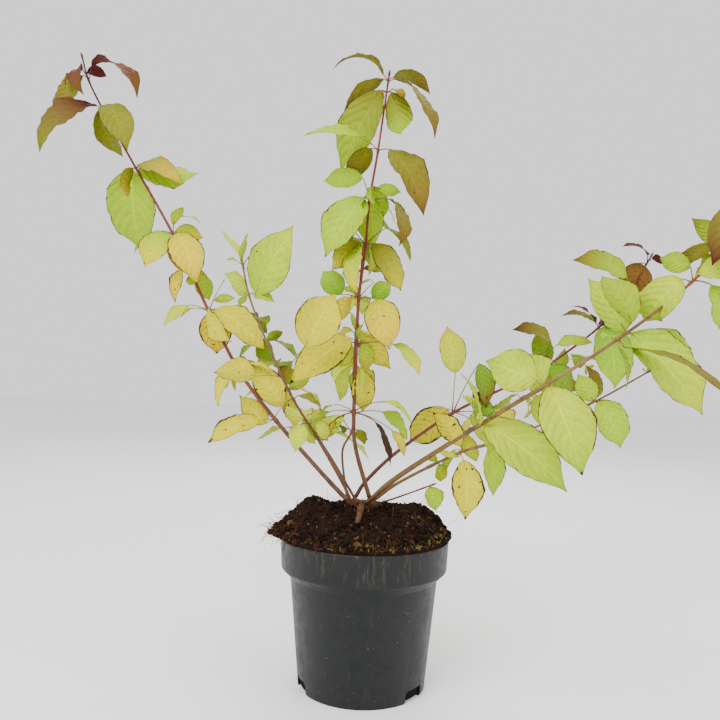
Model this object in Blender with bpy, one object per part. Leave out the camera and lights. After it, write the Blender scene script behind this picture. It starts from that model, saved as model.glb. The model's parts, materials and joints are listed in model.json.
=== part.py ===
"""Potted fire dogwood in autumn: black nursery pot, heaped soil, canes and leaves.

Metres, +Z up. The origin is the centre of the pot's flat underside and the plant
is seen from -Y. Each cane is a smooth route through a few named points. Its bare
foot is one limb, and the leafy part above it is one or more foliage masses, each
a stem with its leaves sunk into it.
"""
import random
from collections import namedtuple
from math import atan2, cos, pi, radians, sin

import bmesh
import bpy
from mathutils import Matrix, Vector
from mathutils.bvhtree import BVHTree

SEED = 41
GAP = 0.0003
MM = 0.001

# Pot
POT_HEIGHT = 0.1644
RIM_RADIUS = 0.095
COLLAR_FOOT_RADIUS = 0.0930
COLLAR_FOOT_HEIGHT = 0.131
BODY_TOP_RADIUS = 0.0828
BODY_TOP_HEIGHT = 0.1212
BASE_RADIUS = 0.0709
POT_WALL = 0.0016
POT_FLOOR = 0.0022
POT_SIDES = 40
NOTCH_WIDTH = 0.028
NOTCH_HEIGHT = 0.013
NOTCH_CORNER = 0.004
NOTCH_TURNS = (-38.0, 82.0, 202.0)

# Soil
SOIL_SIDES = 32
SOIL_EDGE_HEIGHT = 0.1662
SOIL_RISE = 0.0325
SOIL_SLOPE = 2.6
SOIL_SLOPE_FRONT = 1.1
SOIL_HUMPS = ((-0.066, 0.012, 0.017, 0.020), (0.070, 0.010, 0.013, 0.026),
              (0.020, -0.050, 0.004, 0.022), (-0.030, 0.060, 0.005, 0.024))
LEFT_LIP = 0.0150
RIGHT_LIP = 0.0060
RECESS_RADIUS = 0.0290
RECESS_FLOOR = 0.1885

# Crown
CROWN_BOTTOM = RECESS_FLOOR + GAP
CROWN_LUMPS = ((-0.003, 0.001, 0.0130, 0.0085), (-0.013, 0.006, 0.0085, 0.0080),
               (0.008, -0.003, 0.0085, 0.0090), (-0.005, -0.008, 0.0068, 0.0070))
OLD_STUB = ((-0.005, -0.008), (-0.006, -0.026), (-0.010, -0.054))
STUB_LIFT = 0.0048
OLD_STUB_RADII = (0.0046, 0.0026)
POCKET_PLAY = 0.0004
KNUCKLE_DETAIL = 1

# Leaf outline: share of the length, share of the half width
OUTLINE = ((0.10, 0.54), (0.28, 0.92), (0.47, 1.0), (0.68, 0.74), (0.87, 0.28))
LEAF_THICK = 0.019
LEAF_THICK_LEAST = 0.0011
LEAF_FOLD = 0.16
STALK_RADIUS = 0.00075
STALK_LENGTH = 8.0
STALK_SUNK = 0.0002
NODE_STEP = 0.7
FUSE_TRIES = 4
FUSE_SHIFT = 0.00001
TOUCH = 0.0000004
LEAF_CLEAR = 0.00042
TURNS_TO_TRY = (0, 9, -9, 18, -18, 27, -27, 36, -36, 46, -46, 58, -58)
STEM_SIDES = 5

LEFT, INNER, BACK_MID, CENTRE = "left", "inner_left", "back_centre", "centre"
RIGHT_UP, RIGHT_FRONT, RIGHT_LOW = "right_upper", "right_front", "right_lower"
BACK_RIGHT, BACK_LEFT, TWIG = "back_right", "back_left", "low_twig"

Cane = namedtuple("Cane", "points foot_radius tip_radius colour splits")
CANES = {
    LEFT: Cane(((-.021, 0, .204), (-.050, .010, .231), (-.108, .030, .290), (-.156, .045, .348),
                (-.196, .055, .418), (-.245, .066, .512), (-.296, .075, .595),
                (-.344, .085, .672), (-.367, .090, .714), (-.375, .090, .740)),
               .0028, .0011, (.42, .17, .06), (.276, .446, .620)),
    INNER: Cane(((-.008, -.012, .201), (-.040, -.035, .256), (-.079, -.065, .318),
                 (-.109, -.085, .383), (-.125, -.092, .424), (-.132, -.095, .455)),
                .0016, .0010, (.38, .13, .05), (.272,)),
    BACK_MID: Cane(((-.021, .009, .202), (-.029, .050, .252), (-.019, .075, .275),
                    (-.017, .100, .300), (-.019, .140, .359), (-.016, .170, .440),
                    (-.008, .195, .565)),
                   .0015, .0010, (.30, .13, .06), (.266, .420)),
    CENTRE: Cane(((.004, 0, .208), (-.013, -.008, .264), (-.016, -.012, .303),
                  (-.015, -.018, .380), (-.014, -.020, .430), (-.008, -.022, .489),
                  (-.005, -.024, .540), (.003, -.024, .596), (.013, -.022, .680)),
                 .0026, .0010, (.36, .12, .05), (.290, .400, .565)),
    RIGHT_UP: Cane(((-.012, .020, .204), (.002, .028, .224), (.040, .045, .258),
                    (.105, .070, .302), (.162, .085, .330), (.222, .100, .360),
                    (.296, .110, .415), (.335, .115, .458), (.366, .120, .510)),
                   .0024, .0010, (.16, .03, .03), (.290, .385)),
    RIGHT_FRONT: Cane(((.001, -.011, .203), (.035, -.060, .241), (.101, -.140, .300),
                       (.151, -.170, .337), (.214, -.190, .383), (.274, -.200, .434),
                       (.326, -.200, .494)),
                      .0024, .0010, (.34, .10, .05), (.284, .362)),
    RIGHT_LOW: Cane(((.011, 0, .206), (.040, 0, .227), (.104, -.010, .262),
                     (.153, -.015, .279), (.244, -.020, .320), (.308, -.020, .357)),
                    .0021, .0009, (.33, .17, .08), (.238,)),
    BACK_RIGHT: Cane(((.002, .009, .201), (.041, .050, .228), (.149, .150, .283),
                      (.248, .220, .334), (.326, .262, .374), (.374, .280, .403)),
                     .0022, .0010, (.30, .10, .05), (.262, .340)),
    BACK_LEFT: Cane(((-.016, .011, .200), (-.030, .036, .222), (-.067, .100, .271),
                     (-.098, .150, .310), (-.144, .215, .386), (-.162, .235, .428)),
                    .0020, .0010, (.34, .12, .05), (.255,)),
    TWIG: Cane(((.018, -.010, .204), (.038, -.020, .213), (.069, -.030, .227)),
               .0012, .0008, (.20, .11, .06), (.211,)),
}

# Leaves, each from a height on its cane (mm): aim is the clock angle its length is seen
# at, length and width are as seen (mm), face is how far the blade is turned edge-on,
# arch how far it curls down, lean how far its tip leans to the front, stalk is
# (clock angle, length mm). None leaves arch, lean or stalk to the rule.
Leaf = namedtuple("Leaf", "height aim length width face arch lean stalk",
                  defaults=(25, None, None, None))
CHART = {
    LEFT: (
        Leaf(712, 126, 80, 34, 70, 105, 12, (11, 19)), Leaf(714, 218, 30, 20, 60, 110, 10, (328, 12)),
        Leaf(714, 225, 65, 34, 15, 40, -20), Leaf(672, 221, 91, 50, 35, 80, 15, (300, 8)),
        Leaf(672, 151, 78, 40, 30, 55, 22, (31, 10)), Leaf(595, 114, 65, 34, 45, 75, 10, (10, 6)),
        Leaf(595, 184, 90, 66, 5, 25, -35), Leaf(512, 100, 34, 16, 78, 85, 0, (5, 18)),
        Leaf(512, 239, 49, 18, 74, 50, -25, (289, 16)), Leaf(512, 203, 50, 40, 10, 40, 25),
        Leaf(512, 155, 75, 42, 20, 40, 15), Leaf(463, 188, 44, 22, 30, 50, 5, (300, 13)),
        Leaf(463, 162, 32, 22, 15, 30, -30), Leaf(418, 73, 25, 14, 72, 80, 10, (25, 39)),
        Leaf(418, 222, 38, 18, 30, 50, 25, (285, 24)), Leaf(418, 178, 54, 40, 10, 40, -12),
        Leaf(418, 129, 78, 44, 40, 50, -15), Leaf(348, 194, 48, 30, 50, 50, 20),
        Leaf(348, 104, 41, 14, 70, 50, 25), Leaf(290, 323, 63, 36, 20, 45, -10, (30, 16)),
        Leaf(290, 245, 64, 32, 45, 40, 15, (270, 18))),
    INNER: (
        Leaf(452, 320, 46, 18, 74, 30, -25), Leaf(452, 60, 26, 14, 70, 50, 20),
        Leaf(424, 32, 75, 44, 8, 20, 14, (85, 7)), Leaf(424, 110, 24, 14, 35, 50, 30, (105, 6)),
        Leaf(340, 27, 64, 48, 5, 35, -10, (32, 41)), Leaf(318, 116, 23, 14, 60, 40, 20),
        Leaf(290, 190, 30, 20, 10, 35, 20), Leaf(290, 147, 24, 16, 25, 50, -30)),
    BACK_MID: (
        Leaf(275, 280, 29, 14, 66, 110, 10), Leaf(275, 152, 21, 13, 30, 40, 20)),
    CENTRE: (
        Leaf(676, 268, 57, 24, 66, 115, 12), Leaf(674, 151, 89, 34, 60, 65, 20),
        Leaf(661, 150, 24, 14, 30, 40, 45), Leaf(661, 208, 92, 46, 10, 45, -22),
        Leaf(596, 269, 77, 34, 55, 50, 20), Leaf(596, 154, 85, 42, 30, 50, 10, (85, 14)),
        Leaf(540, 270, 45, 25, 10, 20, -20, (342, 27)), Leaf(540, 163, 35, 22, 10, 30, -38, (15, 18)),
        Leaf(540, 170, 58, 28, 55, 70, 25, (87, 23)), Leaf(540, 209, 81, 48, 20, 30, 12),
        Leaf(540, 139, 34, 14, 74, 50, -30), Leaf(489, 147, 48, 24, 60, 40, 20, (50, 30)),
        Leaf(489, 180, 58, 28, 45, 50, 30), Leaf(489, 144, 60, 34, 30, 50, -25),
        Leaf(430, 164, 59, 40, 5, 40, 10, (90, 19)), Leaf(430, 320, 35, 27, 8, 40, -14, (280, 20)),
        Leaf(430, 110, 20, 12, 74, 110, 20, (326, 34)), Leaf(382, 231, 83, 44, 20, 45, 12),
        Leaf(382, 340, 30, 16, 60, 50, -25), Leaf(380, 170, 33, 20, 15, 30, -40),
        Leaf(380, 140, 45, 24, 52, 50, 15, (88, 41)), Leaf(355, 177, 47, 28, 10, 40, -18, (120, 8)),
        Leaf(355, 193, 41, 18, 30, 40, -30, (260, 8)), Leaf(303, 126, 43, 18, 72, 70, 10, (68, 32)),
        Leaf(303, 139, 44, 24, 52, 50, -12, (86, 33)), Leaf(303, 160, 50, 16, 60, 40, 25, (110, 26)),
        Leaf(303, 154, 31, 14, 40, 50, 0, (114, 48))),
    RIGHT_UP: (
        Leaf(302, 350, 60, 34, 5, 40, -12, (4, 50)), Leaf(302, 168, 57, 28, 20, 40, -10, (27, 70)),
        Leaf(302, 225, 63, 42, 10, 45, -30), Leaf(360, 281, 55, 28, 45, 50, 20, (10, 36)),
        Leaf(360, 87, 42, 24, 50, 50, 15, (29, 37)), Leaf(360, 135, 54, 34, 20, 50, -25),
        Leaf(360, 280, 30, 16, 40, 50, -30), Leaf(415, 175, 81, 54, 5, 45, 12),
        Leaf(415, 75, 18, 12, 40, 50, 30), Leaf(415, 295, 43, 20, 70, 60, 22),
        Leaf(415, 281, 42, 22, 66, 60, -22), Leaf(415, 48, 35, 22, 45, 40, -20),
        Leaf(458, 138, 50, 36, 10, 45, 15), Leaf(458, 231, 28, 18, 35, 50, -25),
        Leaf(458, 282, 78, 38, 32, 55, 12, (354, 25)), Leaf(499, 194, 48, 42, 10, 40, -12),
        Leaf(503, 281, 40, 22, 60, 70, 20, (0, 10))),
    RIGHT_FRONT: (
        Leaf(300, 129, 95, 50, 25, 45, 12), Leaf(300, 325, 27, 16, 60, 90, -20),
        Leaf(337, 162, 81, 48, 5, 35, 14), Leaf(337, 290, 48, 40, 4, 35, -10),
        Leaf(383, 140, 91, 50, 20, 35, 8, (60, 13)), Leaf(384, 139, 79, 44, 30, 60, -20, (75, 24)),
        Leaf(383, 133, 84, 20, 55, 45, 32, (160, 9)), Leaf(383, 158, 40, 15, 50, 40, -32, (180, 10)),
        Leaf(434, 212, 42, 32, 30, 110, -30), Leaf(434, 80, 40, 24, 30, 60, 10),
        Leaf(434, 165, 40, 26, 20, 50, -10, (100, 17)), Leaf(488, 214, 62, 34, 30, 80, 15, (325, 9)),
        Leaf(488, 140, 66, 34, 45, 90, 10, (20, 12)), Leaf(462, 232, 30, 16, 40, 60, -35),
        Leaf(462, 120, 44, 24, 30, 60, 25)),
    RIGHT_LOW: (
        Leaf(262, 178, 66, 40, 20, 35, 6, (150, 9)), Leaf(270, 172, 61, 28, 25, 35, -14),
        Leaf(279, 172, 38, 22, 20, 35, 10), Leaf(320, 157, 55, 40, 15, 40, 10),
        Leaf(320, 134, 52, 24, 40, 65, -15, (70, 10)), Leaf(246, 172, 22, 16, 20, 40, -20),
        Leaf(262, 200, 34, 10, 40, 40, -25), Leaf(270, 60, 16, 11, 30, 40, 20)),
    TWIG: (Leaf(224, 168, 26, 22, 20, 50, 10),),
}
# Canes hidden behind carry crossed pairs: heights of the pairs (mm), leaf length at the
# lowest and highest pair (mm), width as a share of the length
PAIRS = {
    BACK_MID: ((352, 400, 446, 488, 528, 558), 62, 40, 0.52),
    BACK_RIGHT: ((274, 296, 318, 347, 372, 397), 72, 46, 0.52),
    BACK_LEFT: ((268, 290, 322, 355, 388, 420), 70, 48, 0.54),
}
PAIR_DROOP = (12.0, 48.0)
PAIR_ARCH = (35.0, 70.0)
FLOWER_BUDS = 5


def clear_scene():
    for item in list(bpy.data.objects):
        bpy.data.objects.remove(item, do_unlink=True)


def finish_material(name, colour, roughness):
    material = bpy.data.materials.new(name)
    material.use_nodes = True
    shader = material.node_tree.nodes["Principled BSDF"]
    shader.inputs["Base Color"].default_value = (*colour, 1.0)
    shader.inputs["Roughness"].default_value = roughness
    shader.inputs["Metallic"].default_value = 0.0
    material.diffuse_color = (*colour, 1.0)
    return material


def mesh_object(name, vertices, faces, material=None, smooth=False):
    mesh = bpy.data.meshes.new(name)
    mesh.from_pydata([tuple(v) for v in vertices], [], faces)
    mesh.validate()
    form = bmesh.new()
    form.from_mesh(mesh)
    bmesh.ops.triangulate(form, faces=[f for f in form.faces if len(f.verts) > 3])
    bmesh.ops.recalc_face_normals(form, faces=form.faces)
    if form.calc_volume(signed=True) < 0:
        bmesh.ops.reverse_faces(form, faces=form.faces)
    form.to_mesh(mesh)
    form.free()
    if smooth:
        mesh.shade_smooth()
        mesh.set_sharp_from_angle(angle=radians(38))
    item = bpy.data.objects.new(name, mesh)
    bpy.context.scene.collection.objects.link(item)
    if material:
        mesh.materials.append(material)
    return item


# Rings of equal count joined in turn; one point closes an end, a ring is capped
def loft(rings):
    vertices = []
    faces = []
    starts = []
    for ring in rings:
        starts.append(len(vertices))
        vertices.extend(ring)
    for index in range(len(rings) - 1):
        first, second = rings[index], rings[index + 1]
        a, b = starts[index], starts[index + 1]
        count = max(len(first), len(second))
        for k in range(count):
            n = (k + 1) % count
            if len(second) == 1:
                faces.append((a + k, a + n, b))
            elif len(first) == 1:
                faces.append((a, b + n, b + k))
            else:
                faces.append((a + k, a + n, b + n, b + k))
    if len(rings[0]) > 1:
        faces.append(tuple(range(len(rings[0])))[::-1])
    if len(rings[-1]) > 1:
        faces.append(tuple(starts[-1] + k for k in range(len(rings[-1]))))
    return vertices, faces


def spline(points, per_span=10):
    knots = [Vector(p) for p in points]
    first = knots[0] * 2 - knots[1]
    last = knots[-1] * 2 - knots[-2]
    knots = [first, *knots, last]
    path = []
    for index in range(1, len(knots) - 2):
        p0, p1, p2, p3 = knots[index - 1:index + 3]
        for step in range(per_span):
            t = step / per_span
            path.append(0.5 * (2 * p1 + (p2 - p0) * t + (2 * p0 - 5 * p1 + 4 * p2 - p3) * t * t
                               + (3 * p1 - p0 - 3 * p2 + p3) * t ** 3))
    path.append(knots[-2])
    return path


def at_height(path, height):
    for a, b in zip(path, path[1:]):
        if a.z <= height <= b.z:
            return a.lerp(b, (height - a.z) / max(b.z - a.z, 1e-9))
    return path[-1].copy() if height > path[-1].z else path[0].copy()


def span(path, low, high, count):
    points = [at_height(path, low)]
    points += [p for p in path if low < p.z < high]
    points.append(at_height(path, high))
    lengths = [0.0]
    for a, b in zip(points, points[1:]):
        lengths.append(lengths[-1] + (b - a).length)
    out = []
    for k in range(count):
        want = lengths[-1] * k / (count - 1)
        index = 0
        while index < len(lengths) - 2 and lengths[index + 1] < want:
            index += 1
        piece = max(lengths[index + 1] - lengths[index], 1e-9)
        out.append(points[index].lerp(points[index + 1], (want - lengths[index]) / piece))
    return out


def frames(points):
    tangents = []
    for k in range(len(points)):
        a = points[max(k - 1, 0)]
        b = points[min(k + 1, len(points) - 1)]
        tangents.append((b - a).normalized())
    side = tangents[0].orthogonal().normalized()
    out = []
    for tangent in tangents:
        side = (side - tangent * side.dot(tangent)).normalized()
        out.append((tangent, side, tangent.cross(side)))
    return out


def tube(points, radii, sides=STEM_SIDES, pointed=False):
    rings = []
    for point, radius, (tangent, side, other) in zip(points, radii, frames(points)):
        ring = []
        for k in range(sides):
            turn = 2 * pi * k / sides
            ring.append(point + side * (radius * cos(turn)) + other * (radius * sin(turn)))
        rings.append(ring)
    if pointed:
        rings.append([points[-1] + frames(points)[-1][0] * radii[-1] * 2.5])
    return loft(rings)


# Way the clock angle points in the front view, leaning to the front
def clock(aim, lean=0.0):
    a, t = radians(aim), radians(lean)
    return Vector((cos(t) * sin(a), -sin(t), cos(t) * cos(a)))


def seen_normal(aim, direction, face):
    front = Vector((0, -1, 0))
    front = (front - direction * front.dot(direction)).normalized()
    across = clock(aim - 90 if aim < 180 else aim + 90)
    return (front * cos(radians(face)) + across * sin(radians(face))).normalized()


# Blade and stalk in one loft of four-sided rings: left edge, upper rib, right edge, lower rib
def leaf_rings(root, stalk, direction, normal, length, width, arch, grow=0.0):
    bend = radians(max(arch, 4.0))
    radius = length / (2 * sin(bend / 2))
    base = root + stalk
    thick = max(LEAF_THICK * length, LEAF_THICK_LEAST) / 2 + grow
    stalk_way = stalk.normalized()

    def station(share):
        turn = (share - 0.5) * bend
        along = radius * (sin(turn) + sin(bend / 2))
        rise = radius * (cos(turn) - cos(bend / 2))
        centre = base + direction * along + normal * rise
        tangent = direction * cos(turn) - normal * sin(turn)
        return centre, tangent, normal * cos(turn) + direction * sin(turn)

    def ring(centre, tangent, up, half, deep, fold):
        side = tangent.cross(up).normalized()
        up = side.cross(tangent).normalized()
        lift = up * (half * fold)
        return [centre - side * half + lift, centre + up * deep,
                centre + side * half + lift, centre - up * deep]

    sunk = root + stalk_way * (STALK_SUNK - grow)
    rings = [ring(sunk, stalk_way, normal, STALK_RADIUS + grow, STALK_RADIUS + grow, 0)]
    centre, tangent, up = station(0.0)
    rings.append(ring(centre, (tangent + stalk_way).normalized(), up, STALK_RADIUS + grow,
                      STALK_RADIUS + grow, 0))
    for share, wide in OUTLINE:
        centre, tangent, up = station(share)
        deep = thick * (1.0 if share < 0.7 else 0.8)
        rings.append(ring(centre, tangent, up, width / 2 * wide + grow, deep, LEAF_FOLD))
    centre, tangent, up = station(1.0)
    rings.append([centre + tangent * grow])
    return rings


def tree_of(vertices, faces):
    return BVHTree.FromPolygons([tuple(v) for v in vertices], faces, epsilon=0.0)


def object_tree(item):
    graph = bpy.context.evaluated_depsgraph_get()
    return BVHTree.FromObject(item, graph)


class Yard:
    """Everything placed so far, kept to test a new leaf against."""

    def __init__(self):
        self.solid = []
        self.leaves = []

    def add(self, owner, tree):
        self.solid.append((owner, tree))

    def clear(self, owner, tree, blade):
        for name, other in self.solid:
            if name != owner and tree.overlap(other):
                return False
        for name, other, other_blade in self.leaves:
            if name != owner and tree.overlap(other):
                return False
            if name == owner and blade.overlap(other_blade):
                return False
        return True

    def place_leaf(self, owner, make):
        for turn in TURNS_TO_TRY:
            grown = loft(make(turn, LEAF_CLEAR))
            blade_rings = make(turn, 0.0)
            tree = tree_of(*grown)
            blade = tree_of(*loft(blade_rings[2:]))
            if self.clear(owner, tree, blade):
                plain = loft(blade_rings)
                self.leaves.append((owner, tree_of(*plain), blade))
                return plain
        return None


def stalk_vector(aim, lean, stalk):
    if stalk is None:
        turn = aim * 0.45 if aim < 180 else 360 - (360 - aim) * 0.45
        stalk = (turn, STALK_LENGTH)
    return clock(stalk[0], lean * 0.5) * (stalk[1] * MM)


def chart_leaf(leaf, root, rng):
    lean = leaf.lean if leaf.lean is not None else rng.uniform(-30, 30)
    arch = leaf.arch if leaf.arch is not None else rng.uniform(35, 60)

    def make(turn, grow):
        direction = clock(leaf.aim, lean + turn)
        normal = seen_normal(leaf.aim, direction, leaf.face)
        length = leaf.length * MM / cos(radians(min(abs(lean + turn), 50)))
        stalk = stalk_vector(leaf.aim, lean + turn, leaf.stalk)
        return leaf_rings(root, stalk, direction, normal, length, leaf.width * MM, arch, grow)

    return make


def pair_leaf(turn_about, droop, length, width, arch, root):
    def make(turn, grow):
        about = radians(turn_about + turn)
        out = Vector((cos(about), sin(about), 0))
        down = radians(droop)
        direction = out * cos(down) - Vector((0, 0, 1)) * sin(down)
        normal = out * sin(down) + Vector((0, 0, 1)) * cos(down)
        stalk = (out * 0.6 + Vector((0, 0, 1)) * 0.8) * (STALK_LENGTH * MM)
        return leaf_rings(root, stalk, direction, normal, length, width, arch, grow)

    return make


def pairs_of(name, path, rng):
    heights, low_length, high_length, wide = PAIRS[name]
    about = rng.uniform(0, 180)
    for index, height in enumerate(heights):
        share = index / (len(heights) - 1)
        for half in (0, 180):
            length = (low_length + (high_length - low_length) * share) * rng.uniform(0.85, 1.1)
            yield height, pair_leaf(about + half + rng.uniform(-14, 14), rng.uniform(*PAIR_DROOP),
                                    length * MM, length * wide * MM, rng.uniform(*PAIR_ARCH),
                                    at_height(path, (height + half * NODE_STEP / 180) * MM))
        about += 90 + rng.uniform(-12, 12)


def radius_at(cane, path, height):
    low, high = path[0].z, path[-1].z
    share = max(0.0, (height - low) / (high - low))
    return cane.foot_radius + (cane.tip_radius - cane.foot_radius) * share ** 0.85


# Joins the parts onto the base, or cuts them out of it; where skins only just touch, the
# parts are moved by hundredths of a millimetre and the work is done again
def fuse(base, parts, operation="UNION"):
    plain = base.data
    for attempt in range(FUSE_TRIES):
        group = bpy.data.collections.new(base.name + "_parts")
        bpy.context.scene.collection.children.link(group)
        for index, (vertices, faces) in enumerate(parts):
            turn = 2.4 * index + attempt
            shift = Vector((cos(turn), sin(turn), cos(2 * turn))) * (FUSE_SHIFT * attempt)
            piece = mesh_object(f"{base.name}_part_{index}", [v + shift for v in vertices], faces)
            bpy.context.scene.collection.objects.unlink(piece)
            group.objects.link(piece)
        union = base.modifiers.new("join", "BOOLEAN")
        union.operation = operation
        union.operand_type = "COLLECTION"
        union.collection = group
        union.solver = "EXACT" if attempt == 0 else "MANIFOLD"
        graph = bpy.context.evaluated_depsgraph_get()
        base.data = bpy.data.meshes.new_from_object(base.evaluated_get(graph))
        base.modifiers.clear()
        for piece in list(group.objects):
            bpy.data.objects.remove(piece, do_unlink=True)
        bpy.data.collections.remove(group)
        tidy_solid(base)
        if is_closed(base.data):
            break
        if attempt < FUSE_TRIES - 1:
            base.data = plain


def is_closed(mesh):
    form = bmesh.new()
    form.from_mesh(mesh)
    bmesh.ops.remove_doubles(form, verts=form.verts, dist=TOUCH)
    closed = len(form.faces) > 0 and all(edge.is_manifold for edge in form.edges)
    form.free()
    return closed


# One outer skin: loose scraps and sealed hollows go
def tidy_solid(item):
    form = bmesh.new()
    form.from_mesh(item.data)
    islands = []
    left = set(form.faces)
    while left:
        stack = [left.pop()]
        island = set(stack)
        while stack:
            for edge in stack.pop().edges:
                for other in edge.link_faces:
                    if other in left:
                        left.remove(other)
                        island.add(other)
                        stack.append(other)
        islands.append(island)
    islands.sort(key=lambda faces: sum(f.calc_area() for f in faces))
    for island in islands[:-1]:
        bmesh.ops.delete(form, geom=list(island), context="FACES")
    loose = [v for v in form.verts if not v.link_faces]
    bmesh.ops.delete(form, geom=loose, context="VERTS")
    bmesh.ops.triangulate(form, faces=[f for f in form.faces if len(f.verts) > 3])
    form.to_mesh(item.data)
    form.free()


# Pot: a turned wall with three rounded notches at its foot
def build_pot():
    wall = POT_WALL
    profile = ((0.0, 0.0), (BASE_RADIUS, 0.0), (BODY_TOP_RADIUS, BODY_TOP_HEIGHT),
               (COLLAR_FOOT_RADIUS, COLLAR_FOOT_HEIGHT), (RIM_RADIUS - 0.0003, POT_HEIGHT - 0.0006),
               (RIM_RADIUS - 0.0008, POT_HEIGHT), (RIM_RADIUS - wall + 0.0002, POT_HEIGHT),
               (COLLAR_FOOT_RADIUS - wall, COLLAR_FOOT_HEIGHT + 0.0006),
               (BODY_TOP_RADIUS - wall, BODY_TOP_HEIGHT + 0.0006),
               (BASE_RADIUS - wall, POT_FLOOR), (0.0, POT_FLOOR))
    rings = []
    for radius, height in profile:
        if radius == 0.0:
            rings.append([Vector((0, 0, height))])
            continue
        rings.append([Vector((radius * cos(2 * pi * k / POT_SIDES), radius * sin(2 * pi * k / POT_SIDES),
                              height)) for k in range(POT_SIDES)])
    material = finish_material("pot_plastic", (0.028, 0.029, 0.030), 0.55)
    pot = mesh_object("pot", *loft(rings), material, smooth=True)
    for turn in NOTCH_TURNS:
        cutter = notch_cutter(turn)
        cut = pot.modifiers.new("notch", "BOOLEAN")
        cut.operation = "DIFFERENCE"
        cut.object = cutter
        cut.solver = "EXACT"
    return pot


def notch_cutter(turn):
    form = bmesh.new()
    bmesh.ops.create_cube(form, size=1.0)
    depth = 0.016
    centre = BASE_RADIUS - 0.001
    bmesh.ops.scale(form, vec=(depth, NOTCH_WIDTH, NOTCH_HEIGHT * 2), verts=form.verts)
    upper = [e for e in form.edges if all(v.co.z > 0 for v in e.verts)
             and abs(e.verts[0].co.x - e.verts[1].co.x) > depth / 2]
    bmesh.ops.bevel(form, geom=upper, offset=NOTCH_CORNER, segments=3, profile=0.5, affect="EDGES")
    bmesh.ops.translate(form, vec=(centre, 0, 0), verts=form.verts)
    bmesh.ops.rotate(form, cent=(0, 0, 0), matrix=Matrix.Rotation(radians(turn), 3, "Z"),
                     verts=form.verts)
    mesh = bpy.data.meshes.new("notch_cutter")
    form.to_mesh(mesh)
    form.free()
    cutter = bpy.data.objects.new(f"cutter_{int(turn)}", mesh)
    bpy.context.scene.collection.objects.link(cutter)
    cutter.hide_render = True
    cutter.display_type = "WIRE"
    return cutter


def soil_edge(turn):
    left = max(0.0, cos(turn - pi)) ** 10 * LEFT_LIP
    right = max(0.0, cos(turn)) ** 14 * RIGHT_LIP
    return RIM_RADIUS - POT_WALL - 0.0012 + left + right


def soil_height(x, y):
    turn = atan2(y, x)
    share = min(1.0, (x * x + y * y) ** 0.5 / soil_edge(turn))
    slope = SOIL_SLOPE - (SOIL_SLOPE - SOIL_SLOPE_FRONT) * max(0.0, -sin(turn)) ** 0.8
    height = SOIL_EDGE_HEIGHT + SOIL_RISE * (1 - share ** slope)
    fade = 1 - share ** 6
    for hump_x, hump_y, rise, wide in SOIL_HUMPS:
        away = ((x - hump_x) ** 2 + (y - hump_y) ** 2) / (wide * wide)
        height += rise * fade * 2.718281828 ** (-away)
    return height


# Soil: fills the pot inside its wall and heaps over the rim, with lips left and right
def build_soil():
    inner = ((0.0, POT_FLOOR + GAP), (BASE_RADIUS - POT_WALL - 2 * GAP, POT_FLOOR + GAP),
             (BODY_TOP_RADIUS - POT_WALL - 2 * GAP, BODY_TOP_HEIGHT + 0.0008),
             (COLLAR_FOOT_RADIUS - POT_WALL - 2 * GAP, COLLAR_FOOT_HEIGHT + 0.0012),
             (RIM_RADIUS - POT_WALL - 0.0006, POT_HEIGHT + 0.0001))
    around = [2 * pi * k / SOIL_SIDES for k in range(SOIL_SIDES)]
    rings = []
    for radius, height in inner:
        if radius == 0.0:
            rings.append([Vector((0, 0, height))])
            continue
        rings.append([Vector((radius * cos(t), radius * sin(t), height)) for t in around])
    lift = POT_HEIGHT + 0.0008
    rings.append([Vector((soil_edge(t) * cos(t), soil_edge(t) * sin(t), lift)) for t in around])
    for share in (0.99, 0.93, 0.84, 0.72, 0.58, 0.44):
        ring = []
        for t in around:
            x, y = soil_edge(t) * share * cos(t), soil_edge(t) * share * sin(t)
            wave = 0.0009 * sin(5 * t + 9 * share) + 0.0007 * sin(11 * t - 14 * share)
            ring.append(Vector((x, y, soil_height(x, y) + (wave if share < 0.95 else 0))))
        rings.append(ring)
    shift = Vector((-0.003, 0.002, 0))
    ring = []
    for t in around:
        spot = shift + Vector((RECESS_RADIUS * cos(t), RECESS_RADIUS * 0.8 * sin(t), 0))
        ring.append(spot + Vector((0, 0, soil_height(spot.x, spot.y) - 0.0008)))
    rings.append(ring)
    rings.append([Vector((v.x * 0.93 + shift.x * 0.07, v.y * 0.93 + shift.y * 0.07, RECESS_FLOOR))
                  for v in ring])
    rings.append([Vector((shift.x, shift.y, RECESS_FLOOR))])
    material = finish_material("soil_earth", (0.022, 0.014, 0.009), 0.95)
    return mesh_object("soil", *loft(rings), material)


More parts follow.
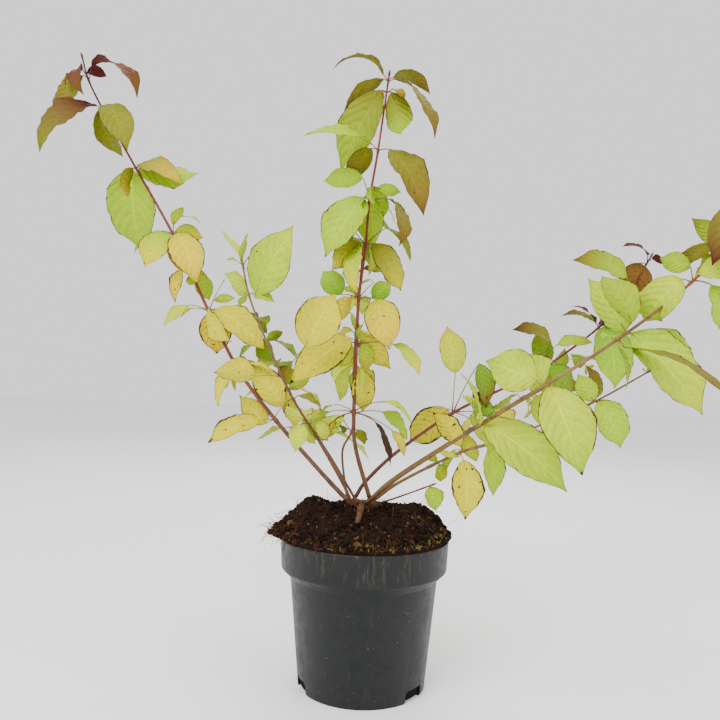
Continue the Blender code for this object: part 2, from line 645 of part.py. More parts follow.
# Crown: knuckles of old wood on a flat cut, with a short socket for each cane
def build_crown(paths):
    material = finish_material("crown_wood", (0.16, 0.07, 0.04), 0.85)
    parts = []
    for x, y, wide, tall in CROWN_LUMPS:
        parts.append(lump(x, y, wide, tall))
    for name, path in paths.items():
        cane = CANES[name]
        way = (path[2] - path[0]).normalized()
        foot = path[0] - way * GAP
        heart = Vector((foot.x * 0.55, foot.y * 0.55, 0.1955))
        radius = cane.foot_radius
        parts.append(tube([heart, foot - way * 0.002, foot],
                          [radius * 1.5 + 0.0012, radius * 1.25, radius * 1.12], 7))
    points = [Vector((x, y, soil_height(x, y) + STUB_LIFT)) for x, y in OLD_STUB]
    points = spline(points, 2)
    step = (OLD_STUB_RADII[1] - OLD_STUB_RADII[0]) / (len(points) - 1)
    parts.append(tube(points, [OLD_STUB_RADII[0] + step * k for k in range(len(points))], 7))
    base = mesh_object("crown", *parts[0], material)
    fuse(base, parts[1:])
    pockets = []
    for name, path in paths.items():
        cane = CANES[name]
        points = [path[0], path[2], path[4], path[6]]
        points[0] = path[0] - (path[1] - path[0]).normalized() * GAP
        radii = [radius_at(cane, path, p.z) + POCKET_PLAY for p in points]
        pockets.append(tube(points, radii, 8))
    fuse(base, pockets, "DIFFERENCE")
    form = bmesh.new()
    form.from_mesh(base.data)
    everything = list(form.verts) + list(form.edges) + list(form.faces)
    cut = bmesh.ops.bisect_plane(form, geom=everything, plane_co=(0, 0, CROWN_BOTTOM),
                                 plane_no=(0, 0, -1), clear_outer=True)
    rim = [e for e in cut["geom_cut"] if isinstance(e, bmesh.types.BMEdge)]
    bmesh.ops.holes_fill(form, edges=rim)
    bmesh.ops.triangulate(form, faces=[f for f in form.faces if len(f.verts) > 3])
    form.to_mesh(base.data)
    form.free()
    base.data.materials.clear()
    base.data.materials.append(material)
    return base


def lump(x, y, wide, tall):
    form = bmesh.new()
    bmesh.ops.create_icosphere(form, subdivisions=KNUCKLE_DETAIL, radius=1.0)
    for vertex in form.verts:
        bump = 1 + 0.10 * sin(7 * vertex.co.x + 5 * vertex.co.y) * cos(6 * vertex.co.z)
        vertex.co = Vector((x + vertex.co.x * wide * bump, y + vertex.co.y * wide * bump,
                            0.1965 + vertex.co.z * tall * bump))
    vertices = [v.co.copy() for v in form.verts]
    faces = [tuple(v.index for v in f.verts) for f in form.faces]
    form.free()
    return vertices, faces


def limb_shape(cane, path, low, high):
    length = (at_height(path, high) - at_height(path, low)).length
    count = max(3, min(9, round(length / 0.022) + 1))
    points = span(path, low, high, count)
    radii = [radius_at(cane, path, p.z) for p in points]
    return points, radii


def step_on(path, height, away):
    here = at_height(path, height)
    point = height
    while (at_height(path, point) - here).length < away:
        point += away / 10
    return point


def cut_heights(name, path):
    cane = CANES[name]
    parts = ["lower", "middle", "upper"]
    ends = [*cane.splits[1:], path[-1].z]
    if len(ends) == 1:
        parts = [""]
    elif len(ends) == 2:
        parts = ["lower", "upper"]
    low = cane.splits[0]
    for part, high in zip(parts, ends):
        label = f"foliage_{name}" + (f"_{part}" if part else "")
        yield label, step_on(path, low, GAP), high
        low = high


def build_masses(paths, yard):
    jobs = {}
    for name, path in paths.items():
        for label, low, high in cut_heights(name, path):
            points, radii = limb_shape(CANES[name], path, low, high)
            stem = tube(points, radii, pointed=high == path[-1].z)
            yard.add(label, tree_of(*stem))
            jobs[label] = (name, low, high, stem, [])
    rng = random.Random(SEED)
    for name, path in paths.items():
        asks = []
        for leaf in CHART.get(name, ()):
            root = at_height(path, (leaf.height + NODE_STEP * (len(asks) % 4)) * MM)
            asks.append((leaf.height, chart_leaf(leaf, root, rng)))
        if name in PAIRS:
            asks.extend(pairs_of(name, path, rng))
        for height, make in asks:
            for label, job in jobs.items():
                if job[0] == name and job[1] <= height * MM <= job[2]:
                    shape = yard.place_leaf(label, make)
                    if shape:
                        job[4].append(shape)
                    else:
                        print("left out:", label, height)
    add_flower_buds(paths[RIGHT_LOW], jobs["foliage_" + RIGHT_LOW], rng)
    return jobs


def add_flower_buds(path, job, rng):
    tip = path[-1]
    for k in range(FLOWER_BUDS):
        turn = 2 * pi * k / FLOWER_BUDS
        way = Vector((0.35 + 0.5 * cos(turn), 0.6 * sin(turn), 0.55 + 0.35 * cos(turn))).normalized()
        start = tip - Vector((0.0005, 0, 0.0003))
        end = start + way * rng.uniform(0.007, 0.010)
        points = [start, start.lerp(end, 0.55), start.lerp(end, 0.8), end]
        job[4].append(tube(points, [0.0006, 0.0006, 0.0015, 0.0011], 5, pointed=True))


def foliage_colour(name):
    return {LEFT: (.30, .28, .05), CENTRE: (.30, .34, .04), INNER: (.42, .42, .10),
            RIGHT_UP: (.22, .24, .05), RIGHT_FRONT: (.40, .45, .08)}.get(name, (.30, .36, .05))


def main():
    clear_scene()
    paths = {name: spline(cane.points) for name, cane in CANES.items()}
    yard = Yard()
    pot = build_pot()
    soil = build_soil()
    crown = build_crown(paths)
    bpy.context.view_layer.update()
    for item in (pot, soil, crown):
        yard.add(item.name, object_tree(item))
    for name, path in paths.items():
        cane = CANES[name]
        points, radii = limb_shape(cane, path, path[0].z, cane.splits[0])
        material = finish_material(f"bark_{name}", cane.colour, 0.6)
        shape = tube(points, radii, 8)
        yard.add(f"cane_{name}", tree_of(*shape))
        mesh_object(f"cane_{name}", *shape, material, smooth=True)
    for label, (name, low, high, stem, leaves) in build_masses(paths, yard).items():
        material = finish_material(label, foliage_colour(name), 0.5)
        base = mesh_object(label, *stem, material)
        fuse(base, leaves)
        base.data.materials.clear()
        base.data.materials.append(material)


main()
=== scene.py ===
"""Looks of a potted fire dogwood in autumn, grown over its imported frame.

The pot is turned, the soil heaped and crumbled, and each cane is swept along the
same route as in the solids. Leaves are grown by the same rule as the solids' leaves
and settle on them, and each mass of leaves stands for its solid.
"""

import json
import logging
import random
from collections.abc import Callable
from dataclasses import dataclass, field
from enum import Enum
from math import atan2, cos, exp, pi, radians, sin

import bmesh
import bpy
from mathutils import Matrix, Vector, noise
from mathutils.bvhtree import BVHTree

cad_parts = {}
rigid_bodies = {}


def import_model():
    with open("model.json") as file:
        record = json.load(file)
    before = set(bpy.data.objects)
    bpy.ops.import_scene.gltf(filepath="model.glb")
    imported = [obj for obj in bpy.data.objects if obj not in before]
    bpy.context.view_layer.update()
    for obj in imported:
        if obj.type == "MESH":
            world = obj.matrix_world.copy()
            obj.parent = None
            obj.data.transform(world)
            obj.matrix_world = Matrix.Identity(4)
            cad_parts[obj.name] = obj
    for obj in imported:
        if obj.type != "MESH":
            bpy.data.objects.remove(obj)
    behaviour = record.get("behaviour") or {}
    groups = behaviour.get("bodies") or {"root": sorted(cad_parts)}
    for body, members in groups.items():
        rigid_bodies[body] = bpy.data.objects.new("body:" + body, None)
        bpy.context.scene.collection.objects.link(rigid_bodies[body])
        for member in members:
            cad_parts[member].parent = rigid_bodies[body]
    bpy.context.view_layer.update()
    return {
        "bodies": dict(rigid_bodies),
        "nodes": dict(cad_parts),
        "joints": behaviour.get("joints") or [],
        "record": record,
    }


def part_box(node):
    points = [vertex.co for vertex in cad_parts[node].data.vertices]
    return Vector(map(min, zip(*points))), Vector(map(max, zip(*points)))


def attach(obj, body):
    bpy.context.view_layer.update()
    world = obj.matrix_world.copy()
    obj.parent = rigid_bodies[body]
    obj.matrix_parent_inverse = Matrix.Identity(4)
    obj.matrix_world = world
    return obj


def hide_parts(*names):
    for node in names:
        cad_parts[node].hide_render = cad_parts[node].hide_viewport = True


LOG = logging.getLogger("dogwood")
Colour = tuple[float, float, float]
Socket = bpy.types.NodeSocket
Feed = Socket | float | tuple
BODY = "root"
SEED = 41
MM = 0.001

# Leaves and stalks. They root, lean, arch and fold as in the solids, and are finer here
LEAF_FOLD = 0.16
STALK_RADIUS = 0.00065
STALK_LENGTH = 8.0
NODE_STEP = 0.7
LEAF_TILT = 0.35
LEAF_CUP = (-0.10, 0.16)
LEAST_HALF_WIDTH = 0.012
VEINS = 7.5
VEIN_BOW = 0.30
VEIN_CURVE = 1.4
PLEAT = 0.045
TURNS_TO_TRY = (0, 9, -9, 18, -18, 27, -27, 36, -36, 46, -46, 58, -58)
LEAF_MISS = 0.0035
LEAF_ROWS = 23
LEAF_COLUMNS = 7
PROBE_ROWS = 9
PROBE_COLUMNS = 5
BLACK = (0.0, 0.0, 0.0)
TWIN_TURNS = (180, 150, 210, 125, 235, 100, 260, 75, 285)
TWIN_SIZE = (0.55, 0.85)
TWIN_PLAY = 0.002
TWIN_STRAY = 14.0
TWIN_STEP = 1.1
PAIR_DROOP = (12.0, 48.0)
PAIR_ARCH = (35.0, 70.0)
PAIR_STRAY = 14.0
PAIR_TWIST = 12.0
LOW_BURN = 0.45
HIGH_BURN = 0.15
FLOWER_BUDS = 5
FLOWER_BUD = (0.35, 0.42, 0.12)
NODE_SWELL = 0.32
NODE_REACH = 0.0022
TIP_BUD = ((0.002, 1.25), (0.0045, 1.5), (0.007, 1.0), (0.009, 0.3))


class Tint(Enum):
    """Plain leaf colours, linear red, green and blue."""

    MAROON = (0.085, 0.008, 0.008)
    TAN = (0.150, 0.072, 0.008)
    OLIVE = (0.190, 0.200, 0.008)
    GREEN = (0.150, 0.340, 0.004)
    LIME = (0.340, 0.520, 0.004)
    PALE = (0.500, 0.610, 0.018)
    YELLOW = (0.620, 0.560, 0.006)
    ORANGE = (0.640, 0.430, 0.010)
    DEAD = (0.040, 0.016, 0.010)


@dataclass(frozen=True)
class Leaf:
    """One leaf: where it leaves its cane, how it is seen, and its colours.

    Height is in mm above the ground, aim the clock angle its length is seen at, length
    and width as seen in mm, face how far it is turned edge-on, arch its curl, lean how
    far its tip leans to the front, burn how brown its margin is and stalk the clock
    angle and length of its stalk.
    """

    height: float
    aim: float
    length: float
    width: float
    face: float
    arch: float
    lean: float
    tint: Tint
    tip: Tint
    burn: float = 0.1
    stalk: tuple[float, float] | None = None


@dataclass(frozen=True)
class Cane:
    """One cane: its route, radii, bark colours from foot to tip, and its masses."""

    points: tuple
    foot_radius: float
    tip_radius: float
    splits: tuple
    bark: tuple[Colour, Colour, Colour]


BROWN_BARK = (0.090, 0.034, 0.014)
TAN_BARK = (0.130, 0.060, 0.017)
ORANGE_BARK = (0.230, 0.040, 0.014)
RED_BARK = (0.210, 0.020, 0.014)
DARK_BARK = (0.060, 0.008, 0.011)
PALE_BARK = (0.230, 0.145, 0.028)

MAROON, TAN, OLIVE, GREEN, LIME = Tint.MAROON, Tint.TAN, Tint.OLIVE, Tint.GREEN, Tint.LIME
PALE, YELLOW, ORANGE, DEAD = Tint.PALE, Tint.YELLOW, Tint.ORANGE, Tint.DEAD

CANES = {
    "left": Cane(((-.021, 0, .204), (-.050, .010, .231), (-.108, .030, .290), (-.156, .045, .348),
                  (-.196, .055, .418), (-.245, .066, .512), (-.296, .075, .595),
                  (-.344, .085, .672), (-.367, .090, .714), (-.375, .090, .740)),
                 .0028, .0011, (.276, .446, .620), (TAN_BARK, ORANGE_BARK, DARK_BARK)),
    "inner_left": Cane(((-.008, -.012, .201), (-.040, -.035, .256), (-.079, -.065, .318),
                        (-.109, -.085, .383), (-.125, -.092, .424), (-.132, -.095, .455)),
                       .0016, .0010, (.272,), (TAN_BARK, TAN_BARK, PALE_BARK)),
    "back_centre": Cane(((-.021, .009, .202), (-.029, .050, .252), (-.019, .075, .275),
                         (-.017, .100, .300), (-.019, .140, .359), (-.016, .170, .440),
                         (-.008, .195, .565)),
                        .0015, .0010, (.266, .420), (TAN_BARK, ORANGE_BARK, RED_BARK)),
    "centre": Cane(((.004, 0, .208), (-.013, -.008, .264), (-.016, -.012, .303),
                    (-.015, -.018, .380), (-.014, -.020, .430), (-.008, -.022, .489),
                    (-.005, -.024, .540), (.003, -.024, .596), (.013, -.022, .680)),
                   .0026, .0010, (.290, .400, .565), (TAN_BARK, ORANGE_BARK, RED_BARK)),
    "right_upper": Cane(((-.012, .020, .204), (.002, .028, .224), (.040, .045, .258),
                         (.105, .070, .302), (.162, .085, .330), (.222, .100, .360),
                         (.296, .110, .415), (.335, .115, .458), (.366, .120, .510)),
                        .0024, .0010, (.290, .385), (BROWN_BARK, RED_BARK, DARK_BARK)),
    "right_front": Cane(((.001, -.011, .203), (.035, -.060, .241), (.101, -.140, .300),
                         (.151, -.170, .337), (.214, -.190, .383), (.274, -.200, .434),
                         (.326, -.200, .494)),
                        .0024, .0010, (.284, .362), (TAN_BARK, PALE_BARK, RED_BARK)),
    "right_lower": Cane(((.011, 0, .206), (.040, 0, .227), (.104, -.010, .262),
                         (.153, -.015, .279), (.244, -.020, .320), (.308, -.020, .357)),
                        .0021, .0009, (.238,), (TAN_BARK, PALE_BARK, DARK_BARK)),
    "back_right": Cane(((.002, .009, .201), (.041, .050, .228), (.149, .150, .283),
                        (.248, .220, .334), (.326, .262, .374), (.374, .280, .403)),
                       .0022, .0010, (.262, .340), (TAN_BARK, ORANGE_BARK, DARK_BARK)),
    "back_left": Cane(((-.016, .011, .200), (-.030, .036, .222), (-.067, .100, .271),
                       (-.098, .150, .310), (-.144, .215, .386), (-.162, .235, .428)),
                      .0020, .0010, (.255,), (TAN_BARK, ORANGE_BARK, RED_BARK)),
    "low_twig": Cane(((.018, -.010, .204), (.038, -.020, .213), (.069, -.030, .227)),
                     .0012, .0008, (.211,), (BROWN_BARK, TAN_BARK, RED_BARK)),
}
CHART = {
    "left": (
        Leaf(712, 126, 80, 34, 70, 105, 12, MAROON, TAN, .10, (11, 19)),
        Leaf(714, 218, 30, 20, 60, 110, 10, MAROON, MAROON, 0, (328, 12)),
        Leaf(714, 225, 65, 34, 15, 40, -20, OLIVE, TAN, .15),
        Leaf(672, 221, 91, 50, 35, 80, 15, MAROON, OLIVE, .10, (300, 8)),
        Leaf(672, 151, 78, 40, 30, 55, 22, OLIVE, OLIVE, .10, (31, 10)),
        Leaf(595, 114, 65, 34, 45, 75, 10, OLIVE, ORANGE, .15, (10, 6)),
        Leaf(595, 184, 90, 66, 5, 25, -35, LIME, LIME, .12),
        Leaf(512, 100, 34, 16, 78, 85, 0, PALE, PALE, .05, (5, 18)),
        Leaf(512, 239, 49, 18, 74, 50, -25, PALE, LIME, .05, (289, 16)),
        Leaf(512, 203, 50, 40, 10, 40, 25, LIME, YELLOW, .20),
        Leaf(512, 155, 75, 42, 20, 40, 15, YELLOW, ORANGE, .40),
        Leaf(463, 188, 44, 22, 30, 50, 5, YELLOW, ORANGE, .80, (300, 13)),
        Leaf(463, 162, 32, 22, 15, 30, -30, LIME, LIME, .10),
        Leaf(418, 73, 25, 14, 72, 80, 10, PALE, PALE, 0, (25, 39)),
        Leaf(418, 222, 38, 18, 30, 50, 25, PALE, PALE, .10, (285, 24)),
        Leaf(418, 178, 54, 40, 10, 40, -12, YELLOW, ORANGE, .55),
        Leaf(418, 129, 78, 44, 40, 50, -15, YELLOW, YELLOW, .35),
        Leaf(348, 194, 48, 30, 50, 50, 20, YELLOW, YELLOW, .50),
        Leaf(348, 104, 41, 14, 70, 50, 25, PALE, YELLOW, .20),
        Leaf(290, 323, 63, 36, 20, 45, -10, YELLOW, YELLOW, .50, (30, 16)),
        Leaf(290, 245, 64, 32, 45, 40, 15, YELLOW, YELLOW, .55, (270, 18))),
    "inner_left": (
        Leaf(452, 320, 46, 18, 74, 30, -25, PALE, PALE, .05),
        Leaf(452, 60, 26, 14, 70, 50, 20, PALE, PALE, .05),
        Leaf(424, 32, 75, 44, 8, 20, 14, LIME, PALE, .12, (85, 7)),
        Leaf(424, 110, 24, 14, 35, 50, 30, LIME, LIME, .10, (105, 6)),
        Leaf(340, 27, 64, 48, 5, 35, -10, YELLOW, YELLOW, .25, (32, 41)),
        Leaf(318, 116, 23, 14, 60, 40, 20, OLIVE, OLIVE, .40),
        Leaf(290, 190, 30, 20, 10, 35, 20, PALE, PALE, .10),
        Leaf(290, 147, 24, 16, 25, 50, -30, PALE, PALE, .30)),
    "back_centre": (
        Leaf(275, 280, 29, 14, 66, 110, 10, PALE, PALE, .10),
        Leaf(275, 152, 21, 13, 30, 40, 20, OLIVE, OLIVE, .30)),
    "centre": (
        Leaf(676, 268, 57, 24, 66, 115, 12, OLIVE, TAN, .15),
        Leaf(674, 151, 89, 34, 60, 65, 20, OLIVE, TAN, .15),
        Leaf(661, 150, 24, 14, 30, 40, 45, ORANGE, TAN, .30),
        Leaf(661, 208, 92, 46, 10, 45, -22, OLIVE, LIME, .10),
        Leaf(596, 269, 77, 34, 55, 50, 20, LIME, LIME, .10),
        Leaf(596, 154, 85, 42, 30, 50, 10, OLIVE, TAN, .30, (85, 14)),
        Leaf(540, 270, 45, 25, 10, 20, -20, LIME, LIME, .05, (342, 27)),
        Leaf(540, 163, 35, 22, 10, 30, -38, LIME, LIME, .10, (15, 18)),
        Leaf(540, 170, 58, 28, 55, 70, 25, OLIVE, TAN, .30, (87, 23)),
        Leaf(540, 209, 81, 48, 20, 30, 12, LIME, LIME, .15),
        Leaf(540, 139, 34, 14, 74, 50, -30, LIME, PALE, .05),
        Leaf(489, 147, 48, 24, 60, 40, 20, OLIVE, OLIVE, .30, (50, 30)),
        Leaf(489, 180, 58, 28, 45, 50, 30, LIME, YELLOW, .15),
        Leaf(489, 144, 60, 34, 30, 50, -25, OLIVE, YELLOW, .40),
        Leaf(430, 164, 59, 40, 5, 40, 10, YELLOW, ORANGE, .35, (90, 19)),
        Leaf(430, 320, 35, 27, 8, 40, -14, GREEN, LIME, .05, (280, 20)),
        Leaf(430, 110, 20, 12, 74, 110, 20, PALE, PALE, .05, (326, 34)),
        Leaf(382, 231, 83, 44, 20, 45, 12, YELLOW, YELLOW, .45),
        Leaf(382, 340, 30, 16, 60, 50, -25, LIME, LIME, .10),
        Leaf(380, 170, 33, 20, 15, 30, -40, LIME, YELLOW, .15),
        Leaf(380, 140, 45, 24, 52, 50, 15, LIME, YELLOW, .20, (88, 41)),
        Leaf(355, 177, 47, 28, 10, 40, -18, YELLOW, YELLOW, .45, (120, 8)),
        Leaf(355, 193, 41, 18, 30, 40, -30, PALE, PALE, .15, (260, 8)),
        Leaf(303, 126, 43, 18, 72, 70, 10, PALE, PALE, .05, (68, 32)),
        Leaf(303, 139, 44, 24, 52, 50, -12, LIME, LIME, .15, (86, 33)),
        Leaf(303, 160, 50, 16, 60, 40, 25, DEAD, DEAD, .50, (110, 26)),
        Leaf(303, 154, 31, 14, 40, 50, 0, YELLOW, ORANGE, .60, (114, 48))),
    "right_upper": (
        Leaf(302, 350, 60, 34, 5, 40, -12, PALE, YELLOW, .20, (4, 50)),
        Leaf(302, 168, 57, 28, 20, 40, -10, GREEN, TAN, .55, (27, 70)),
        Leaf(302, 225, 63, 42, 10, 45, -30, YELLOW, YELLOW, .60),
        Leaf(360, 281, 55, 28, 45, 50, 20, OLIVE, MAROON, .15, (10, 36)),
        Leaf(360, 87, 42, 24, 50, 50, 15, LIME, OLIVE, .15, (29, 37)),
        Leaf(360, 135, 54, 34, 20, 50, -25, GREEN, OLIVE, .15),
        Leaf(360, 280, 30, 16, 40, 50, -30, OLIVE, OLIVE, .20),
        Leaf(415, 175, 81, 54, 5, 45, 12, GREEN, LIME, .12),
        Leaf(415, 75, 18, 12, 40, 50, 30, MAROON, MAROON, 0),
        Leaf(415, 295, 43, 20, 70, 60, 22, MAROON, MAROON, .10),
        Leaf(415, 281, 42, 22, 66, 60, -22, OLIVE, MAROON, .10),
        Leaf(415, 48, 35, 22, 45, 40, -20, OLIVE, MAROON, .10),
        Leaf(458, 138, 50, 36, 10, 45, 15, LIME, OLIVE, .12),
        Leaf(458, 231, 28, 18, 35, 50, -25, TAN, OLIVE, .15),
        Leaf(458, 282, 78, 38, 32, 55, 12, LIME, TAN, .15, (354, 25)),
        Leaf(499, 194, 48, 42, 10, 40, -12, TAN, TAN, .30),
        Leaf(503, 281, 40, 22, 60, 70, 20, MAROON, MAROON, .05, (0, 10))),
    "right_front": (
        Leaf(300, 129, 95, 50, 25, 45, 12, PALE, LIME, .12),
        Leaf(300, 325, 27, 16, 60, 90, -20, PALE, PALE, .10),
        Leaf(337, 162, 81, 48, 5, 35, 14, PALE, LIME, .25),
        Leaf(337, 290, 48, 40, 4, 35, -10, PALE, LIME, .10),
        Leaf(383, 140, 91, 50, 20, 35, 8, LIME, PALE, .12, (60, 13)),
        Leaf(384, 139, 79, 44, 30, 60, -20, LIME, PALE, .12, (75, 24)),
        Leaf(383, 133, 84, 20, 55, 45, 32, OLIVE, TAN, .50, (160, 9)),
        Leaf(383, 158, 40, 15, 50, 40, -32, PALE, LIME, .05, (180, 10)),
        Leaf(434, 212, 42, 32, 30, 110, -30, PALE, LIME, .10),
        Leaf(434, 80, 40, 24, 30, 60, 10, PALE, LIME, .10),
        Leaf(434, 165, 40, 26, 20, 50, -10, LIME, LIME, .10, (100, 17)),
        Leaf(488, 214, 62, 34, 30, 80, 15, OLIVE, MAROON, .10, (325, 9)),
        Leaf(488, 140, 66, 34, 45, 90, 10, MAROON, TAN, .10, (20, 12)),
        Leaf(462, 232, 30, 16, 40, 60, -35, OLIVE, MAROON, .10),
        Leaf(462, 120, 44, 24, 30, 60, 25, LIME, OLIVE, .10)),
    "right_lower": (
        Leaf(262, 178, 66, 40, 20, 35, 6, YELLOW, YELLOW, .65, (150, 9)),
        Leaf(270, 172, 61, 28, 25, 35, -14, LIME, LIME, .35),
        Leaf(279, 172, 38, 22, 20, 35, 10, LIME, LIME, .15),
        Leaf(320, 157, 55, 40, 15, 40, 10, LIME, LIME, .15),
        Leaf(320, 134, 52, 24, 40, 65, -15, OLIVE, TAN, .35, (70, 10)),
        Leaf(246, 172, 22, 16, 20, 40, -20, LIME, YELLOW, .20),
        Leaf(262, 200, 34, 10, 40, 40, -25, PALE, PALE, .10),
        Leaf(270, 60, 16, 11, 30, 40, 20, LIME, LIME, .10)),
    "low_twig": (Leaf(224, 168, 26, 22, 20, 50, 10, LIME, LIME, .40),),
}
PAIRS = {
    "back_centre": ((352, 400, 446, 488, 528, 558), 62, 40, 0.52),
    "back_right": ((274, 296, 318, 347, 372, 397), 72, 46, 0.52),
    "back_left": ((268, 290, 322, 355, 388, 420), 70, 48, 0.54),
}
LOW_TINTS = (YELLOW, LIME, PALE, YELLOW)
HIGH_TINTS = (LIME, OLIVE, GREEN, TAN)


@dataclass(frozen=True)
class Finish:
    """Plain surface values shared by one kind of piece."""

    name: str
    roughness: float
    bump: float
    distance: float
    shine: float


LEAF_FINISH = Finish("dogwood_leaf", 0.60, 0.7, 0.0014, 0.14)
BARK_FINISH = Finish("young_bark", 0.50, 0.5, 0.0004, 0.30)
OLD_FINISH = Finish("old_bark", 0.85, 0.8, 0.0012, 0.15)
POT_FINISH = Finish("black_plastic", 0.46, 0.22, 0.0003, 0.22)
SOIL_FINISH = Finish("peat", 0.95, 0.9, 0.0015, 0.10)

# Shader colours, and shares that darken or pale a tint
LEAF_SHADE = (0.80, 0.76, 0.66)
VEIN_SHADE = (1.45, 1.36, 1.60)
TAN_BURN = (0.30, 0.115, 0.018, 1)
DARK_BURN = (0.050, 0.018, 0.008, 1)
BARK_SHADE = (0.52, 0.46, 0.45)
BARK_PATCH = (0.050, 0.022, 0.012, 1)
PLASTIC = (0.006, 0.0066, 0.0072, 1)
PLASTIC_WORN = (0.012, 0.0128, 0.0132, 1)
POT_DIRT = (0.070, 0.052, 0.036, 1)
POT_SCUFF = (0.20, 0.20, 0.19, 1)
POT_STREAK = (1.0, 1.0, 0.22)
SOIL_SHADE = (0.38, 0.34, 0.32)


class Nodes:
    """Short hand for wiring one node tree."""

    def __init__(self, tree: bpy.types.NodeTree) -> None:
        """Keep the tree that nodes are added to.

        Args:
            tree: the material's tree or a node group.
        """
        self.tree = tree

    def add(self, kind: str, **values: object) -> bpy.types.Node:
        """Add a node and set its own values.

        Args:
            kind: the node's type name.
            values: attributes to set on it.

        Returns:
            The new node.
        """
        made = self.tree.nodes.new(kind)
        for key, value in values.items():
            setattr(made, key, value)
        return made

    def feed(self, socket: Socket, value: Feed) -> None:
        """Link a socket to another, or set its plain value.

        Args:
            socket: the input that takes the value.
            value: an output socket or a constant.
        """
        if isinstance(value, Socket):
            self.tree.links.new(value, socket)
        else:
            socket.default_value = value

    def math(self, operation: str, first: Feed, second: Feed = 0.0) -> Socket:
        """One step of arithmetic.

        Args:
            operation: the Math node's operation.
            first: first value or socket.
            second: second value or socket.

        Returns:
            The result's socket.
        """
        made = self.add("ShaderNodeMath", operation=operation)
        self.feed(made.inputs[0], first)
        self.feed(made.inputs[1], second)
        return made.outputs[0]

    def blend(self, mask: Feed, first: Feed, second: Feed) -> Socket:
        """Mix two colours by a mask.

        Args:
            mask: 0 gives the first colour and 1 the second.
            first: colour or socket.
            second: colour or socket.

        Returns:
            The mixed colour's socket.
        """
        made = self.add("ShaderNodeMix", data_type="RGBA")
        self.feed(made.inputs[0], mask)
        self.feed(made.inputs[6], first)
        self.feed(made.inputs[7], second)
        return made.outputs[2]

    def cloud(self, place: Socket, scale: float, detail: float = 3.0) -> Socket:
        """Fractal noise.

        Args:
            place: the point's socket.
            scale: how many features in a metre.
            detail: how many finer layers.

        Returns:
            The noise value's socket.
        """
        made = self.add("ShaderNodeTexNoise")
        self.feed(made.inputs["Vector"], place)
        made.inputs["Scale"].default_value = scale
        made.inputs["Detail"].default_value = detail
        return made.outputs["Fac"]

    def shade(self, colour: Socket, shares: Colour) -> Socket:
        """Darken or pale a colour.

        Args:
            colour: the colour's socket.
            shares: what its red, green and blue are multiplied by.

        Returns:
            The new colour's socket.
        """
        made = self.add("ShaderNodeVectorMath", operation="MULTIPLY")
        self.feed(made.inputs[0], colour)
        made.inputs[1].default_value = shares
        return made.outputs[0]

    def tint(self) -> Socket:
        """The colour that each point of a mesh carries.

        Returns:
            The colour's socket.
        """
        return self.add("ShaderNodeAttribute", attribute_name="tint").outputs["Color"]

    def point(self) -> Socket:
        """The shaded point in the object's own space.

        Returns:
            The point's socket.
        """
        return self.add("ShaderNodeTexCoord").outputs["Object"]

    def step(self, value: Feed, low: float, high: float, top: float = 1.0) -> Socket:
        """Smooth step from 0 to top between two values.

        Args:
            value: the socket read.
            low: where it starts.
            high: where it ends.
            top: the value past high.

        Returns:
            The stepped value's socket.
        """
        made = self.add("ShaderNodeMapRange", interpolation_type="SMOOTHSTEP")
        self.feed(made.inputs["Value"], value)
        made.inputs["From Min"].default_value = low
        made.inputs["From Max"].default_value = high
        made.inputs["To Max"].default_value = top
        return made.outputs["Result"]


